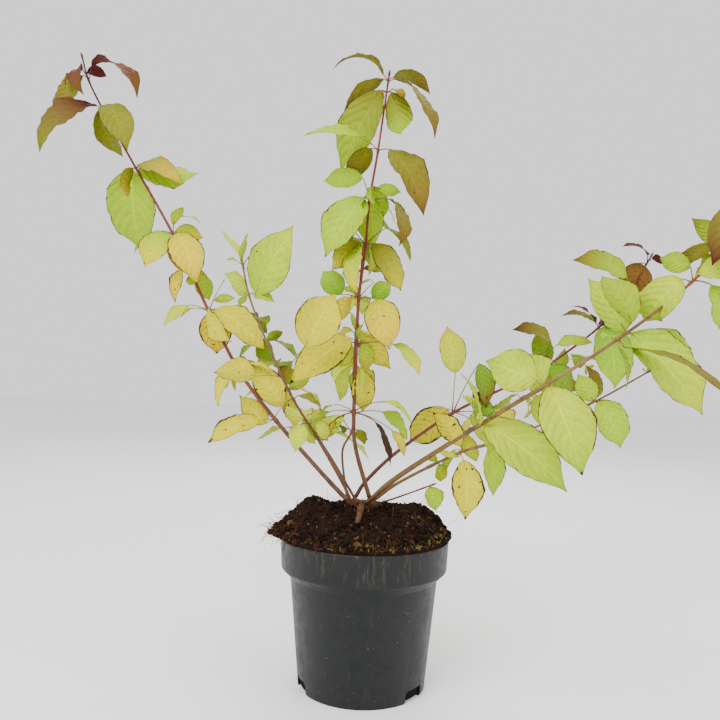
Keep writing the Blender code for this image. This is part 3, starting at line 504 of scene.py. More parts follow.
class Materials:
    """Every material, each built once."""

    def __init__(self) -> None:
        """Build the shared effects and the materials."""
        self.speckle = self.speckle_group()
        self.leaf_skin = self.leaf_group()
        self.leaf = self.leaf_material()
        self.bark = self.bark_material(BARK_FINISH, 900.0)
        self.old = self.bark_material(OLD_FINISH, 420.0)
        self.pot = self.pot_material()
        self.soil = self.soil_material()

    def start(self, finish: Finish) -> tuple[bpy.types.Material, Nodes, bpy.types.Node]:
        """Start a material with its plain values.

        Args:
            finish: the surface values.

        Returns:
            The material, its wiring and its shader.
        """
        material = bpy.data.materials.new(finish.name)
        material.use_nodes = True
        shader = material.node_tree.nodes["Principled BSDF"]
        shader.inputs["Roughness"].default_value = finish.roughness
        shader.inputs["Metallic"].default_value = 0.0
        shader.inputs["Specular IOR Level"].default_value = finish.shine
        return material, Nodes(material.node_tree), shader

    def relief(self, wire: Nodes, shader: bpy.types.Node, height: Socket, finish: Finish) -> None:
        """Feed a height into the shader's normal.

        Args:
            wire: the material's wiring.
            shader: the material's shader.
            height: the height's socket.
            finish: strength and depth of the relief.
        """
        bump = wire.add("ShaderNodeBump")
        bump.inputs["Strength"].default_value = finish.bump
        bump.inputs["Distance"].default_value = finish.distance
        wire.feed(bump.inputs["Height"], height)
        wire.feed(shader.inputs["Normal"], bump.outputs["Normal"])

    def speckle_group(self) -> bpy.types.NodeTree:
        """Fine and broad mottling that every natural surface here shares.

        Returns:
            The node group: a point and a fineness in, a mask out.
        """
        group = bpy.data.node_groups.new("speckle", "ShaderNodeTree")
        group.interface.new_socket("Point", in_out="INPUT", socket_type="NodeSocketVector")
        group.interface.new_socket("Fine", in_out="INPUT", socket_type="NodeSocketFloat")
        group.interface.new_socket("Mask", in_out="OUTPUT", socket_type="NodeSocketFloat")
        wire = Nodes(group)
        source = wire.add("NodeGroupInput")
        target = wire.add("NodeGroupOutput")
        grain = wire.add("ShaderNodeTexNoise")
        grain.inputs["Detail"].default_value = 4.0
        wire.feed(grain.inputs["Vector"], source.outputs["Point"])
        wire.feed(grain.inputs["Scale"], source.outputs["Fine"])
        broad = wire.cloud(source.outputs["Point"], 60.0, 2.0)
        both = wire.math("ADD", wire.math("MULTIPLY", grain.outputs["Fac"], 0.6),
                         wire.math("MULTIPLY", broad, 0.4))
        wire.feed(target.inputs["Mask"], wire.step(both, 0.32, 0.68))
        return group

    def place_speckle(self, wire: Nodes, point: Socket, fine: float) -> Socket:
        """Put the speckle group in a tree.

        Args:
            wire: the tree's wiring.
            point: the point's socket.
            fine: features in a metre.

        Returns:
            The mask's socket.
        """
        made = wire.add("ShaderNodeGroup", node_tree=self.speckle)
        wire.feed(made.inputs["Point"], point)
        made.inputs["Fine"].default_value = fine
        return made.outputs["Mask"]

    def leaf_group(self) -> bpy.types.NodeTree:
        """Veins, mottling and the brown margin of a leaf.

        Returns:
            The node group: colour and height out.
        """
        group = bpy.data.node_groups.new("leaf_skin", "ShaderNodeTree")
        face = group.interface
        face.new_socket("Tint", in_out="INPUT", socket_type="NodeSocketColor")
        face.new_socket("Place", in_out="INPUT", socket_type="NodeSocketVector")
        face.new_socket("Point", in_out="INPUT", socket_type="NodeSocketVector")
        face.new_socket("Colour", in_out="OUTPUT", socket_type="NodeSocketColor")
        face.new_socket("Height", in_out="OUTPUT", socket_type="NodeSocketFloat")
        wire = Nodes(group)
        source = wire.add("NodeGroupInput")
        target = wire.add("NodeGroupOutput")
        split = wire.add("ShaderNodeSeparateXYZ")
        wire.feed(split.inputs[0], source.outputs["Place"])
        across = wire.math("ABSOLUTE", split.outputs["X"])
        along, burn = split.outputs["Y"], split.outputs["Z"]
        curve = wire.math("POWER", across, VEIN_CURVE)
        bow = wire.math("SUBTRACT", along, wire.math("MULTIPLY", curve, VEIN_BOW))
        wave = wire.math("PINGPONG", wire.math("MULTIPLY", bow, VEINS), 0.5)
        side_vein = wire.math("SUBTRACT", 1.0, wire.step(wave, 0.0, 0.10))
        rib = wire.math("SUBTRACT", 1.0, wire.step(across, 0.015, 0.075))
        vein = wire.math("MAXIMUM", rib, wire.math("MULTIPLY", side_vein, 0.75))
        dapple = self.place_speckle(wire, source.outputs["Point"], 240.0)
        tint = source.outputs["Tint"]
        darker = wire.shade(tint, LEAF_SHADE)
        colour = wire.blend(wire.math("MULTIPLY", dapple, 0.75), tint, darker)
        paler = wire.shade(tint, VEIN_SHADE)
        colour = wire.blend(wire.math("MULTIPLY", vein, 0.60), colour, paler)
        margin = wire.math("MAXIMUM", wire.math("POWER", across, 5.0), wire.math("POWER", along, 9.0))
        ragged = wire.math("ADD", margin, wire.math("MULTIPLY", wire.cloud(
            source.outputs["Point"], 150.0, 4.0), 0.85))
        burnt = wire.math("ADD", ragged, wire.math("MULTIPLY", burn, 0.55))
        spots = wire.math("ADD", wire.cloud(source.outputs["Point"], 210.0, 0.0),
                          wire.math("MULTIPLY", burn, 0.20))
        tan_mask = wire.step(burnt, 1.16, 1.55, 0.60)
        colour = wire.blend(tan_mask, colour, TAN_BURN)
        dark_mask = wire.math("MAXIMUM", wire.step(burnt, 1.27, 1.42), wire.step(spots, 0.885, 0.91))
        colour = wire.blend(dark_mask, colour, DARK_BURN)
        wire.feed(target.inputs["Colour"], colour)
        wire.feed(target.inputs["Height"], wire.math("SUBTRACT", wire.math(
            "MULTIPLY", wave, 1.6), wire.math("MULTIPLY", rib, 0.6)))
        return group

    def leaf_material(self) -> bpy.types.Material:
        """The one leaf material, coloured by each leaf's own tint.

        Returns:
            The material.
        """
        material, wire, shader = self.start(LEAF_FINISH)
        material.use_backface_culling = False
        skin = wire.add("ShaderNodeGroup", node_tree=self.leaf_skin)
        wire.feed(skin.inputs["Tint"], wire.tint())
        wire.feed(skin.inputs["Place"], wire.add("ShaderNodeAttribute",
                                                 attribute_name="place").outputs["Vector"])
        wire.feed(skin.inputs["Point"], wire.point())
        wire.feed(shader.inputs["Base Color"], skin.outputs["Colour"])
        self.relief(wire, shader, skin.outputs["Height"], LEAF_FINISH)
        return material

    def bark_material(self, finish: Finish, fine: float) -> bpy.types.Material:
        """Bark, coloured along the cane.

        Args:
            finish: the surface values.
            fine: features in a metre.

        Returns:
            The material.
        """
        material, wire, shader = self.start(finish)
        point = wire.point()
        tint = wire.tint()
        mask = self.place_speckle(wire, point, fine)
        darker = wire.shade(tint, BARK_SHADE)
        colour = wire.blend(wire.math("MULTIPLY", mask, 0.7), tint, darker)
        patch = wire.step(wire.cloud(point, 120.0), 0.50, 0.66, 0.65)
        colour = wire.blend(patch, colour, BARK_PATCH)
        wire.feed(shader.inputs["Base Color"], colour)
        self.relief(wire, shader, mask, finish)
        return material

    def pot_material(self) -> bpy.types.Material:
        """Black plastic with dust low down, dirt on the collar and pale scuffs.

        Returns:
            The material.
        """
        material, wire, shader = self.start(POT_FINISH)
        point = wire.point()
        split = wire.add("ShaderNodeSeparateXYZ")
        wire.feed(split.inputs[0], point)
        mask = self.place_speckle(wire, point, 130.0)
        colour = wire.blend(wire.math("MULTIPLY", mask, 0.8), PLASTIC, PLASTIC_WORN)
        stretch = wire.add("ShaderNodeMapping")
        stretch.inputs["Scale"].default_value = POT_STREAK
        wire.feed(stretch.inputs["Vector"], point)
        streak = wire.cloud(stretch.outputs["Vector"], 210.0, 5.0)
        high = wire.step(split.outputs["Z"], 0.120, 0.160)
        dirt = wire.math("MULTIPLY", wire.step(streak, 0.54, 0.70), wire.math("ADD", wire.math(
            "MULTIPLY", high, 0.55), 0.10))
        colour = wire.blend(dirt, colour, POT_DIRT)
        scuff = wire.step(wire.cloud(point, 460.0, 2.0), 0.735, 0.77, 0.75)
        colour = wire.blend(scuff, colour, POT_SCUFF)
        wire.feed(shader.inputs["Base Color"], colour)
        wire.feed(shader.inputs["Roughness"], wire.math("ADD", wire.math(
            "MULTIPLY", mask, 0.16), wire.math("ADD", wire.math("MULTIPLY", dirt, 0.4), 0.36)))
        self.relief(wire, shader, streak, POT_FINISH)
        return material

    def soil_material(self) -> bpy.types.Material:
        """Near-black peat with browner grains.

        Returns:
            The material.
        """
        material, wire, shader = self.start(SOIL_FINISH)
        point = wire.point()
        tint = wire.tint()
        mask = self.place_speckle(wire, point, 520.0)
        darker = wire.shade(tint, SOIL_SHADE)
        wire.feed(shader.inputs["Base Color"], wire.blend(mask, tint, darker))
        self.relief(wire, shader, mask, SOIL_FINISH)
        return material


@dataclass
class Surface:
    """Points, faces and colours of one joined mesh while it grows."""

    points: list = field(default_factory=list)
    faces: list = field(default_factory=list)
    tints: list = field(default_factory=list)
    places: list = field(default_factory=list)
    spots: list = field(default_factory=list)

    def add_rings(self, rings: list, tints: list) -> None:
        """Join rings of equal count into a tube with closed ends.

        Args:
            rings: lists of points.
            tints: one colour for each ring.
        """
        start = len(self.points)
        count = len(rings[0])
        for ring, tint in zip(rings, tints):
            self.points.extend(ring)
            self.tints.extend([tint] * count)
        for row in range(len(rings) - 1):
            for k in range(count):
                n = (k + 1) % count
                a, b = start + row * count, start + (row + 1) * count
                self.faces.append((a + k, a + n, b + n, b + k))
        self.faces.append(tuple(start + k for k in range(count))[::-1])
        last = start + (len(rings) - 1) * count
        self.faces.append(tuple(last + k for k in range(count)))

    def build(self, name: str, material: bpy.types.Material, slot: str,
              smooth: bool = True) -> bpy.types.Object:
        """Make the object, with its colours, leaf places and bake map.

        Args:
            name: the object's name.
            material: its material.
            slot: the record's material slot; not used.
            smooth: whether it is shaded smooth.

        Returns:
            The object, riding on the plant's one body.
        """
        mesh = bpy.data.meshes.new(name)
        mesh.from_pydata([tuple(p) for p in self.points], [], self.faces)
        tint = mesh.attributes.new("tint", "FLOAT_COLOR", "POINT")
        tint.data.foreach_set("color", [v for t in self.tints for v in (*t, 1.0)])
        if self.places:
            place = mesh.attributes.new("place", "FLOAT_VECTOR", "POINT")
            place.data.foreach_set("vector", [v for p in self.places for v in p])
        if self.spots:
            bake = mesh.uv_layers.new(name="OFBake")
            for loop in mesh.loops:
                bake.data[loop.index].uv = self.spots[loop.vertex_index]
        if smooth:
            mesh.shade_smooth()
        mesh.materials.append(material)
        made = bpy.data.objects.new(name, mesh)
        bpy.context.scene.collection.objects.link(made)
        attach(made, BODY)
        LOG.info("%s: %d points, %d faces", name, len(mesh.vertices), len(mesh.polygons))
        return made


def spline(points: tuple, per_span: int = 10) -> list[Vector]:
    """Smooth route through points.

    Args:
        points: the points it passes.
        per_span: steps between two of them.

    Returns:
        The route's points.
    """
    knots = [Vector(p) for p in points]
    knots = [knots[0] * 2 - knots[1], *knots, knots[-1] * 2 - knots[-2]]
    path = []
    for index in range(1, len(knots) - 2):
        p0, p1, p2, p3 = knots[index - 1:index + 3]
        for step in range(per_span):
            t = step / per_span
            path.append(0.5 * (2 * p1 + (p2 - p0) * t + (2 * p0 - 5 * p1 + 4 * p2 - p3) * t * t
                               + (3 * p1 - p0 - 3 * p2 + p3) * t ** 3))
    path.append(knots[-2])
    return path


def at_height(path: list[Vector], height: float) -> Vector:
    """Point of a rising route at a height.

    Args:
        path: the route.
        height: metres above the ground.

    Returns:
        The point.
    """
    for a, b in zip(path, path[1:]):
        if a.z <= height <= b.z:
            return a.lerp(b, (height - a.z) / max(b.z - a.z, 1e-9))
    return path[-1].copy() if height > path[-1].z else path[0].copy()


def rings_along(points: list[Vector], radii: list[float], sides: int) -> list[list[Vector]]:
    """Round rings along a route.

    Args:
        points: the route.
        radii: the radius at each point.
        sides: points in a ring.

    Returns:
        The rings.
    """
    side = (points[1] - points[0]).normalized().orthogonal().normalized()
    rings = []
    for k, (point, radius) in enumerate(zip(points, radii)):
        way = (points[min(k + 1, len(points) - 1)] - points[max(k - 1, 0)]).normalized()
        side = (side - way * side.dot(way)).normalized()
        other = way.cross(side)
        rings.append([point + side * (radius * cos(2 * pi * n / sides))
                      + other * (radius * sin(2 * pi * n / sides)) for n in range(sides)])
    return rings


def clock(aim: float, lean: float = 0.0) -> Vector:
    """Way that a clock angle of the front view points.

    Args:
        aim: degrees clockwise from up.
        lean: degrees towards the viewer.

    Returns:
        The direction.
    """
    a, t = radians(aim), radians(lean)
    return Vector((cos(t) * sin(a), -sin(t), cos(t) * cos(a)))


def mix(first: Colour, second: Colour, share: float) -> Colour:
    """Blend two plain colours.

    Args:
        first: colour at share 0.
        second: colour at share 1.
        share: how far between.

    Returns:
        The colour.
    """
    return tuple(a + (b - a) * share for a, b in zip(first, second))


def outline(share: float) -> float:
    """Half width of a leaf along its length, as a share of the widest.

    Args:
        share: 0 at the base and 1 at the tip.

    Returns:
        The share of the half width.
    """
    body = max(0.0, sin(pi * share ** 0.83)) ** 0.85
    drawn = max(0.0, min(1.0, (share - 0.72) / 0.28))
    return body * (1 - 0.45 * drawn * drawn * (3 - 2 * drawn))


@dataclass
class Blade:
    """One placed leaf: its root on the cane, its stalk and its bent blade."""

    root: Vector
    stalk: Vector
    way: Vector
    normal: Vector
    length: float
    width: float
    arch: float

    def station(self, share: float) -> tuple[Vector, Vector, Vector]:
        """Rib point, tangent and upward normal at a share of the length.

        Args:
            share: 0 at the base and 1 at the tip.

        Returns:
            Point, tangent and normal.
        """
        bend = radians(max(self.arch, 4.0))
        radius = self.length / (2 * sin(bend / 2))
        turn = (share - 0.5) * bend
        along = radius * (sin(turn) + sin(bend / 2))
        rise = radius * (cos(turn) - cos(bend / 2))
        centre = self.root + self.stalk + self.way * along + self.normal * rise
        return (centre, self.way * cos(turn) - self.normal * sin(turn),
                self.normal * cos(turn) + self.way * sin(turn))

    def tree(self) -> BVHTree:
        """Search tree of a coarse copy of the blade.

        Returns:
            The tree.
        """
        probe = Surface()
        self.grow(probe, (BLACK, BLACK, 0.0), (0, 0, 1), random.Random(1), PROBE_ROWS, PROBE_COLUMNS)
        return BVHTree.FromPolygons([tuple(p) for p in probe.points], probe.faces)

    def rib(self) -> list[Vector]:
        """Points along the rib and both edges.

        Returns:
            The points.
        """
        found = []
        for share in (0.3, 0.55, 0.8, 1.0):
            centre, tangent, up = self.station(share)
            side = tangent.cross(up).normalized() * (self.width / 2 * outline(share))
            found.extend((centre, centre + side, centre - side))
        return found

    def grow(self, surface: Surface, leaf: tuple, cell: tuple, rng: random.Random,
             rows: int = LEAF_ROWS, columns: int = LEAF_COLUMNS) -> None:
        """Add the blade to a surface.

        Args:
            surface: the joined leaves.
            leaf: base tint, tip tint and burn.
            cell: place and size of its cell in the bake map.
            rng: the surface's dice.
            rows: points along the blade.
            columns: points across it.
        """
        base, tip, burn = leaf
        start = len(surface.points)
        phase, tilt = rng.uniform(0, 6.28), rng.uniform(-LEAF_TILT, LEAF_TILT)
        cup = rng.uniform(*LEAF_CUP)
        for row in range(rows):
            along = row / (rows - 1)
            centre, tangent, up = self.station(along)
            side = tangent.cross(up).normalized()
            half = self.width / 2 * max(outline(along), LEAST_HALF_WIDTH)
            for column in range(columns):
                across = column / (columns - 1) * 2 - 1
                edge = abs(across)
                wave = sin(9.5 * along + phase + 2.2 * across) * edge ** 2 * 0.13
                wave += sin(23 * along + 2 * phase + across) * edge ** 3 * 0.045
                pleat = cos(2 * pi * VEINS * (along - VEIN_BOW * edge ** VEIN_CURVE)) * PLEAT * edge ** 0.5
                lift = half * (LEAF_FOLD * edge + cup * edge * edge + wave + tilt * across * along * 0.4)
                surface.points.append(centre + side * (half * across) + up * (lift - half * pleat))
                shade = mix(base, tip, along ** 1.3)
                surface.tints.append(tuple(c * (1 - 0.10 * edge ** 3) for c in shade))
                surface.places.append((across, along, burn))
                surface.spots.append((cell[0] + cell[2] * (0.06 + 0.44 * (across + 1)),
                                      cell[1] + cell[2] * (0.06 + 0.88 * along)))
        for row in range(rows - 1):
            for column in range(columns - 1):
                a = start + row * columns + column
                surface.faces.append((a, a + 1, a + 1 + columns, a + columns))

    def grow_stalk(self, surface: Surface, tint: Colour, tip: Colour) -> None:
        """Add the bowed stalk and its run into the rib.

        Args:
            surface: the joined twigs.
            tint: the colour at the cane.
            tip: the colour at the blade.
        """
        end, _, up = self.station(0.0)
        into = self.station(0.16)[0] - up * 0.0002
        bow = Vector((0, 0, 1)) * (self.stalk.length * 0.07)
        points = []
        for k in range(7):
            t = k / 6
            points.append(self.root.lerp(end, t) + bow * (4 * t * (1 - t)))
        points.append(into)
        radii = [STALK_RADIUS * r for r in (1.5, 1.1, 0.95, 0.9, 0.9, 0.95, 1.0, 0.45)]
        tints = [mix(tint, tip, k / 7) for k in range(8)]
        surface.add_rings(rings_along(points, radii, 6), tints)


def chart_blade(leaf: Leaf, root: Vector, turn: float) -> Blade:
    """A measured leaf, turned a little about its line of sight's plane.

    Args:
        leaf: the leaf.
        root: where it leaves the cane.
        turn: extra lean in degrees.

    Returns:
        The blade.
    """
    lean = leaf.lean + turn
    way = clock(leaf.aim, lean)
    front = Vector((0, -1, 0))
    front = (front - way * front.dot(way)).normalized()
    across = clock(leaf.aim - 90 if leaf.aim < 180 else leaf.aim + 90)
    normal = (front * cos(radians(leaf.face)) + across * sin(radians(leaf.face))).normalized()
    stalk = leaf.stalk
    if stalk is None:
        aim = leaf.aim * 0.45 if leaf.aim < 180 else 360 - (360 - leaf.aim) * 0.45
        stalk = (aim, STALK_LENGTH)
    length = leaf.length * MM / cos(radians(min(abs(lean), 50)))
    return Blade(root, clock(stalk[0], lean * 0.5) * (stalk[1] * MM), way, normal, length,
                 leaf.width * MM, leaf.arch)


def pair_blade(about: float, droop: float, length: float, width: float, arch: float,
               root: Vector) -> Blade:
    """A leaf of a crossed pair.

    Args:
        about: degrees round the cane, from +X.
        droop: degrees below level.
        length: its length.
        width: its width.
        arch: its curl in degrees.
        root: where it leaves the cane.

    Returns:
        The blade.
    """
    out = Vector((cos(radians(about)), sin(radians(about)), 0))
    down = radians(droop)
    rise = Vector((0, 0, 1))
    return Blade(root, (out * 0.6 + rise * 0.8) * (STALK_LENGTH * MM), out * cos(down) - rise * sin(down),
                 out * sin(down) + rise * cos(down), length, width, arch)


def leaves_of(name: str, path: list[Vector], rng: random.Random) -> list[tuple]:
    """Every leaf of a cane: height, blade maker, and colours.

    Args:
        name: the cane's name.
        path: its route.
        rng: the plant's dice, used as in the solids.

    Returns:
        Tuples of height, maker, and (base tint, tip tint, burn).
    """
    found = []
    for index, leaf in enumerate(CHART.get(name, ())):
        root = at_height(path, (leaf.height + NODE_STEP * (index % 4)) * MM)
        found.append((leaf.height, lambda turn, leaf=leaf, root=root: chart_blade(leaf, root, turn),
                      (leaf.tint.value, leaf.tip.value, leaf.burn)))
    if name not in PAIRS:
        return found
    heights, low_length, high_length, wide = PAIRS[name]
    about = rng.uniform(0, 180)
    for index, height in enumerate(heights):
        share = index / (len(heights) - 1)
        for half in (0, 180):
            length = (low_length + (high_length - low_length) * share) * rng.uniform(0.85, 1.1)
            turned = about + half + rng.uniform(-PAIR_STRAY, PAIR_STRAY)
            droop, arch = rng.uniform(*PAIR_DROOP), rng.uniform(*PAIR_ARCH)
            root = at_height(path, (height + half * NODE_STEP / 180) * MM)
            values = (turned, droop, length * MM, length * wide * MM, arch, root)
            pick = (index * 2 + half // 180) % 4
            low = share < 0.5
            tints = LOW_TINTS if low else HIGH_TINTS
            tint, tip = tints[pick], tints[(pick + 1) % 4]
            found.append((height, lambda turn, v=values: pair_blade(v[0] + turn, *v[1:]),
                          (tint.value, tip.value, LOW_BURN if low else HIGH_BURN)))
        about += 90 + rng.uniform(-PAIR_TWIST, PAIR_TWIST)
    return found


@dataclass
class Limb:
    """One cane with its stalks, buds and masses of leaves."""

    name: str
    cane: Cane
    materials: Materials
    rng: random.Random
    path: list = field(default_factory=list)
    placed: dict = field(default_factory=dict)

    def __post_init__(self) -> None:
        """Work out the route."""
        self.path = spline(self.cane.points)

    def masses(self) -> list[tuple[str, float, float]]:
        """Names and height ranges of the cane's masses.

        Returns:
            Tuples of node name, low and high.
        """
        ends = [*self.cane.splits[1:], self.path[-1].z]
        parts = {1: ("",), 2: ("_lower", "_upper"), 3: ("_lower", "_middle", "_upper")}[len(ends)]
        lows = [self.cane.splits[0], *ends[:-1]]
        return [(f"foliage_{self.name}{part}", low, high) for part, low, high in zip(parts, lows, ends)]

    def bark_colour(self, share: float) -> Colour:
        """Bark colour along the cane.

        Args:
            share: 0 at the foot and 1 at the tip.

        Returns:
            The colour.
        """
        low, middle, high = self.cane.bark
        return mix(low, middle, share * 2) if share < 0.5 else mix(middle, high, share * 2 - 1)

    def grow_stem(self, surface: Surface, nodes: list[float]) -> None:
        """Sweep the cane, swollen at its nodes, with a bud on its tip.

        Args:
            surface: the joined twigs.
            nodes: heights of the leaf nodes in metres.
        """
        dense = spline(self.cane.points, 16)
        low, high = dense[0].z, dense[-1].z
        radii, tints = [], []
        for point in dense:
            share = max(0.0, (point.z - low) / (high - low))
            radius = self.cane.foot_radius + (self.cane.tip_radius - self.cane.foot_radius) * share ** 0.85
            swell = max([exp(-((point.z - n) / NODE_REACH) ** 2) for n in nodes], default=0.0)
            radii.append(radius * (1 + NODE_SWELL * swell + 0.05 * noise.noise(point * 160)))
            tints.append(mix(self.bark_colour(share), DARK_BARK, 0.35 * swell))
        tip = (dense[-1] - dense[-2]).normalized()
        for step, wide in TIP_BUD:
            dense.append(self.path[-1] + tip * step)
            radii.append(self.cane.tip_radius * wide)
            tints.append(DARK_BARK)
        surface.add_rings(rings_along(dense, radii, 10), tints)

    def place(self, frame: dict, yard: list[BVHTree]) -> None:
        """Settle every leaf of the solids' rule on its solid.

        Args:
            frame: the loaded frame.
            yard: trees of the blades placed so far on the plant.
        """
        found = leaves_of(self.name, self.path, self.rng)
        for label, low, high in self.masses():
            solid = frame["nodes"][label].data
            tree = BVHTree.FromPolygons([v.co for v in solid.vertices],
                                        [tuple(p.vertices) for p in solid.polygons])
            self.placed[label] = []
            for height, make, colours in found:
                if not low <= height * MM <= high:
                    continue
                blade, miss = self.settle(make, tree)
                if miss > LEAF_MISS:
                    LOG.info("%s: leaf at %d left out as in the solid", label, height)
                    continue
                self.placed[label].append((height, blade, colours))
                yard.append(blade.tree())

    def add_twins(self, yard: list[BVHTree]) -> None:
        """Give each leaf a smaller twin across the cane, where there is room for it.

        Args:
            yard: trees of the blades placed so far on the plant.
        """
        for label, placed in self.placed.items():
            low, high = [Vector(corner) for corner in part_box(label)]
            dice = random.Random(label)
            for height, blade, colours in list(placed):
                above = at_height(self.path, height * MM + 0.01)
                way = above - at_height(self.path, height * MM - 0.01)
                size = dice.uniform(*TWIN_SIZE)
                jitter = dice.uniform(-TWIN_STRAY, TWIN_STRAY)
                for turn in TWIN_TURNS:
                    spin = Matrix.Rotation(radians(turn + jitter), 3, way.normalized())
                    twin = Blade(at_height(self.path, (height + TWIN_STEP) * MM), spin @ blade.stalk * size,
                                 spin @ blade.way, spin @ blade.normal, blade.length * size,
                                 blade.width * size, blade.arch)
                    tree = twin.tree()
                    inside = all(low[k] - TWIN_PLAY <= point[k] <= high[k] + TWIN_PLAY
                                 for point in twin.rib() for k in range(3))
                    if inside and not any(tree.overlap(other) for other in yard):
                        placed.append((height, twin, colours))
                        yard.append(tree)
                        break

    def build(self) -> None:
        """Join the cane's leaves and twigs and stand them for its nodes."""
        twigs = Surface()
        heights = {height * MM for placed in self.placed.values() for height, _, _ in placed}
        self.grow_stem(twigs, sorted(heights))
        for label, placed in self.placed.items():
            leaves = Surface()
            cells = 1
            while cells * cells < len(placed):
                cells += 1
            for index, (height, blade, colours) in enumerate(placed):
                cell = (index % cells / cells, index // cells / cells, 1 / cells)
                blade.grow(leaves, colours, cell, self.rng_for(label, index))
                share = (height * MM - self.path[0].z) / (self.path[-1].z - self.path[0].z)
                blade.grow_stalk(twigs, self.bark_colour(min(1, max(0, share))),
                                 mix(colours[0], RED_BARK, 0.3))
            made = leaves.build(f"leaves_{label.removeprefix('foliage_')}", self.materials.leaf, "foliage")
            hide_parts(label)
        if self.name == "right_lower":
            self.grow_flower_buds(twigs)
        made = twigs.build(f"twigs_{self.name}", self.materials.bark, "bark")
        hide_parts(f"cane_{self.name}")

    def rng_for(self, label: str, index: int) -> random.Random:
        """Dice for one leaf's waves.

        Args:
            label: the mass's name.
            index: the leaf's place in it.

        Returns:
            The dice.
        """
        return random.Random(f"{label}{index}")

    def settle(self, make: Callable[[float], Blade], tree: BVHTree) -> tuple[Blade, float]:
        """Turn a leaf until it lies on its solid.

        Args:
            make: gives the blade for a turn.
            tree: the mass's solid.

        Returns:
            The best blade and how far its rib misses the solid.
        """
        best = None
        for turn in TURNS_TO_TRY:
            blade = make(turn)
            spots = [blade.station(share)[0] for share in (0.25, 0.5, 0.8, 0.97)]
            miss = max(tree.find_nearest(spot)[3] for spot in spots)
            if best is None or miss < best[1] - 0.0001:
                best = (blade, miss)
        return best

    def grow_flower_buds(self, surface: Surface) -> None:
        """Add the small cluster of pale flower buds at the tip.

        Args:
            surface: the joined twigs.
        """
        tip = self.path[-1]
        for k in range(FLOWER_BUDS * 2):
            turn = 2 * pi * k / FLOWER_BUDS
            way = Vector((0.35 + 0.5 * cos(turn), 0.6 * sin(turn), 0.55 + 0.35 * cos(turn))).normalized()
            long = 0.007 + 0.003 * (k % 3) / 2
            points = [tip, tip + way * long * 0.55, tip + way * long * 0.8, tip + way * long]
            radii = [0.0005, 0.0005, 0.0014, 0.0006]
            surface.add_rings(rings_along(points, radii, 8), [FLOWER_BUD] * len(points))


PEAT = (0.014, 0.008, 0.005)
PEAT_BROWN = (0.060, 0.022, 0.010)
PEAT_TAN = (0.170, 0.085, 0.038)
MOSS = (0.120, 0.130, 0.014)
MOSS_PALE = (0.200, 0.165, 0.030)


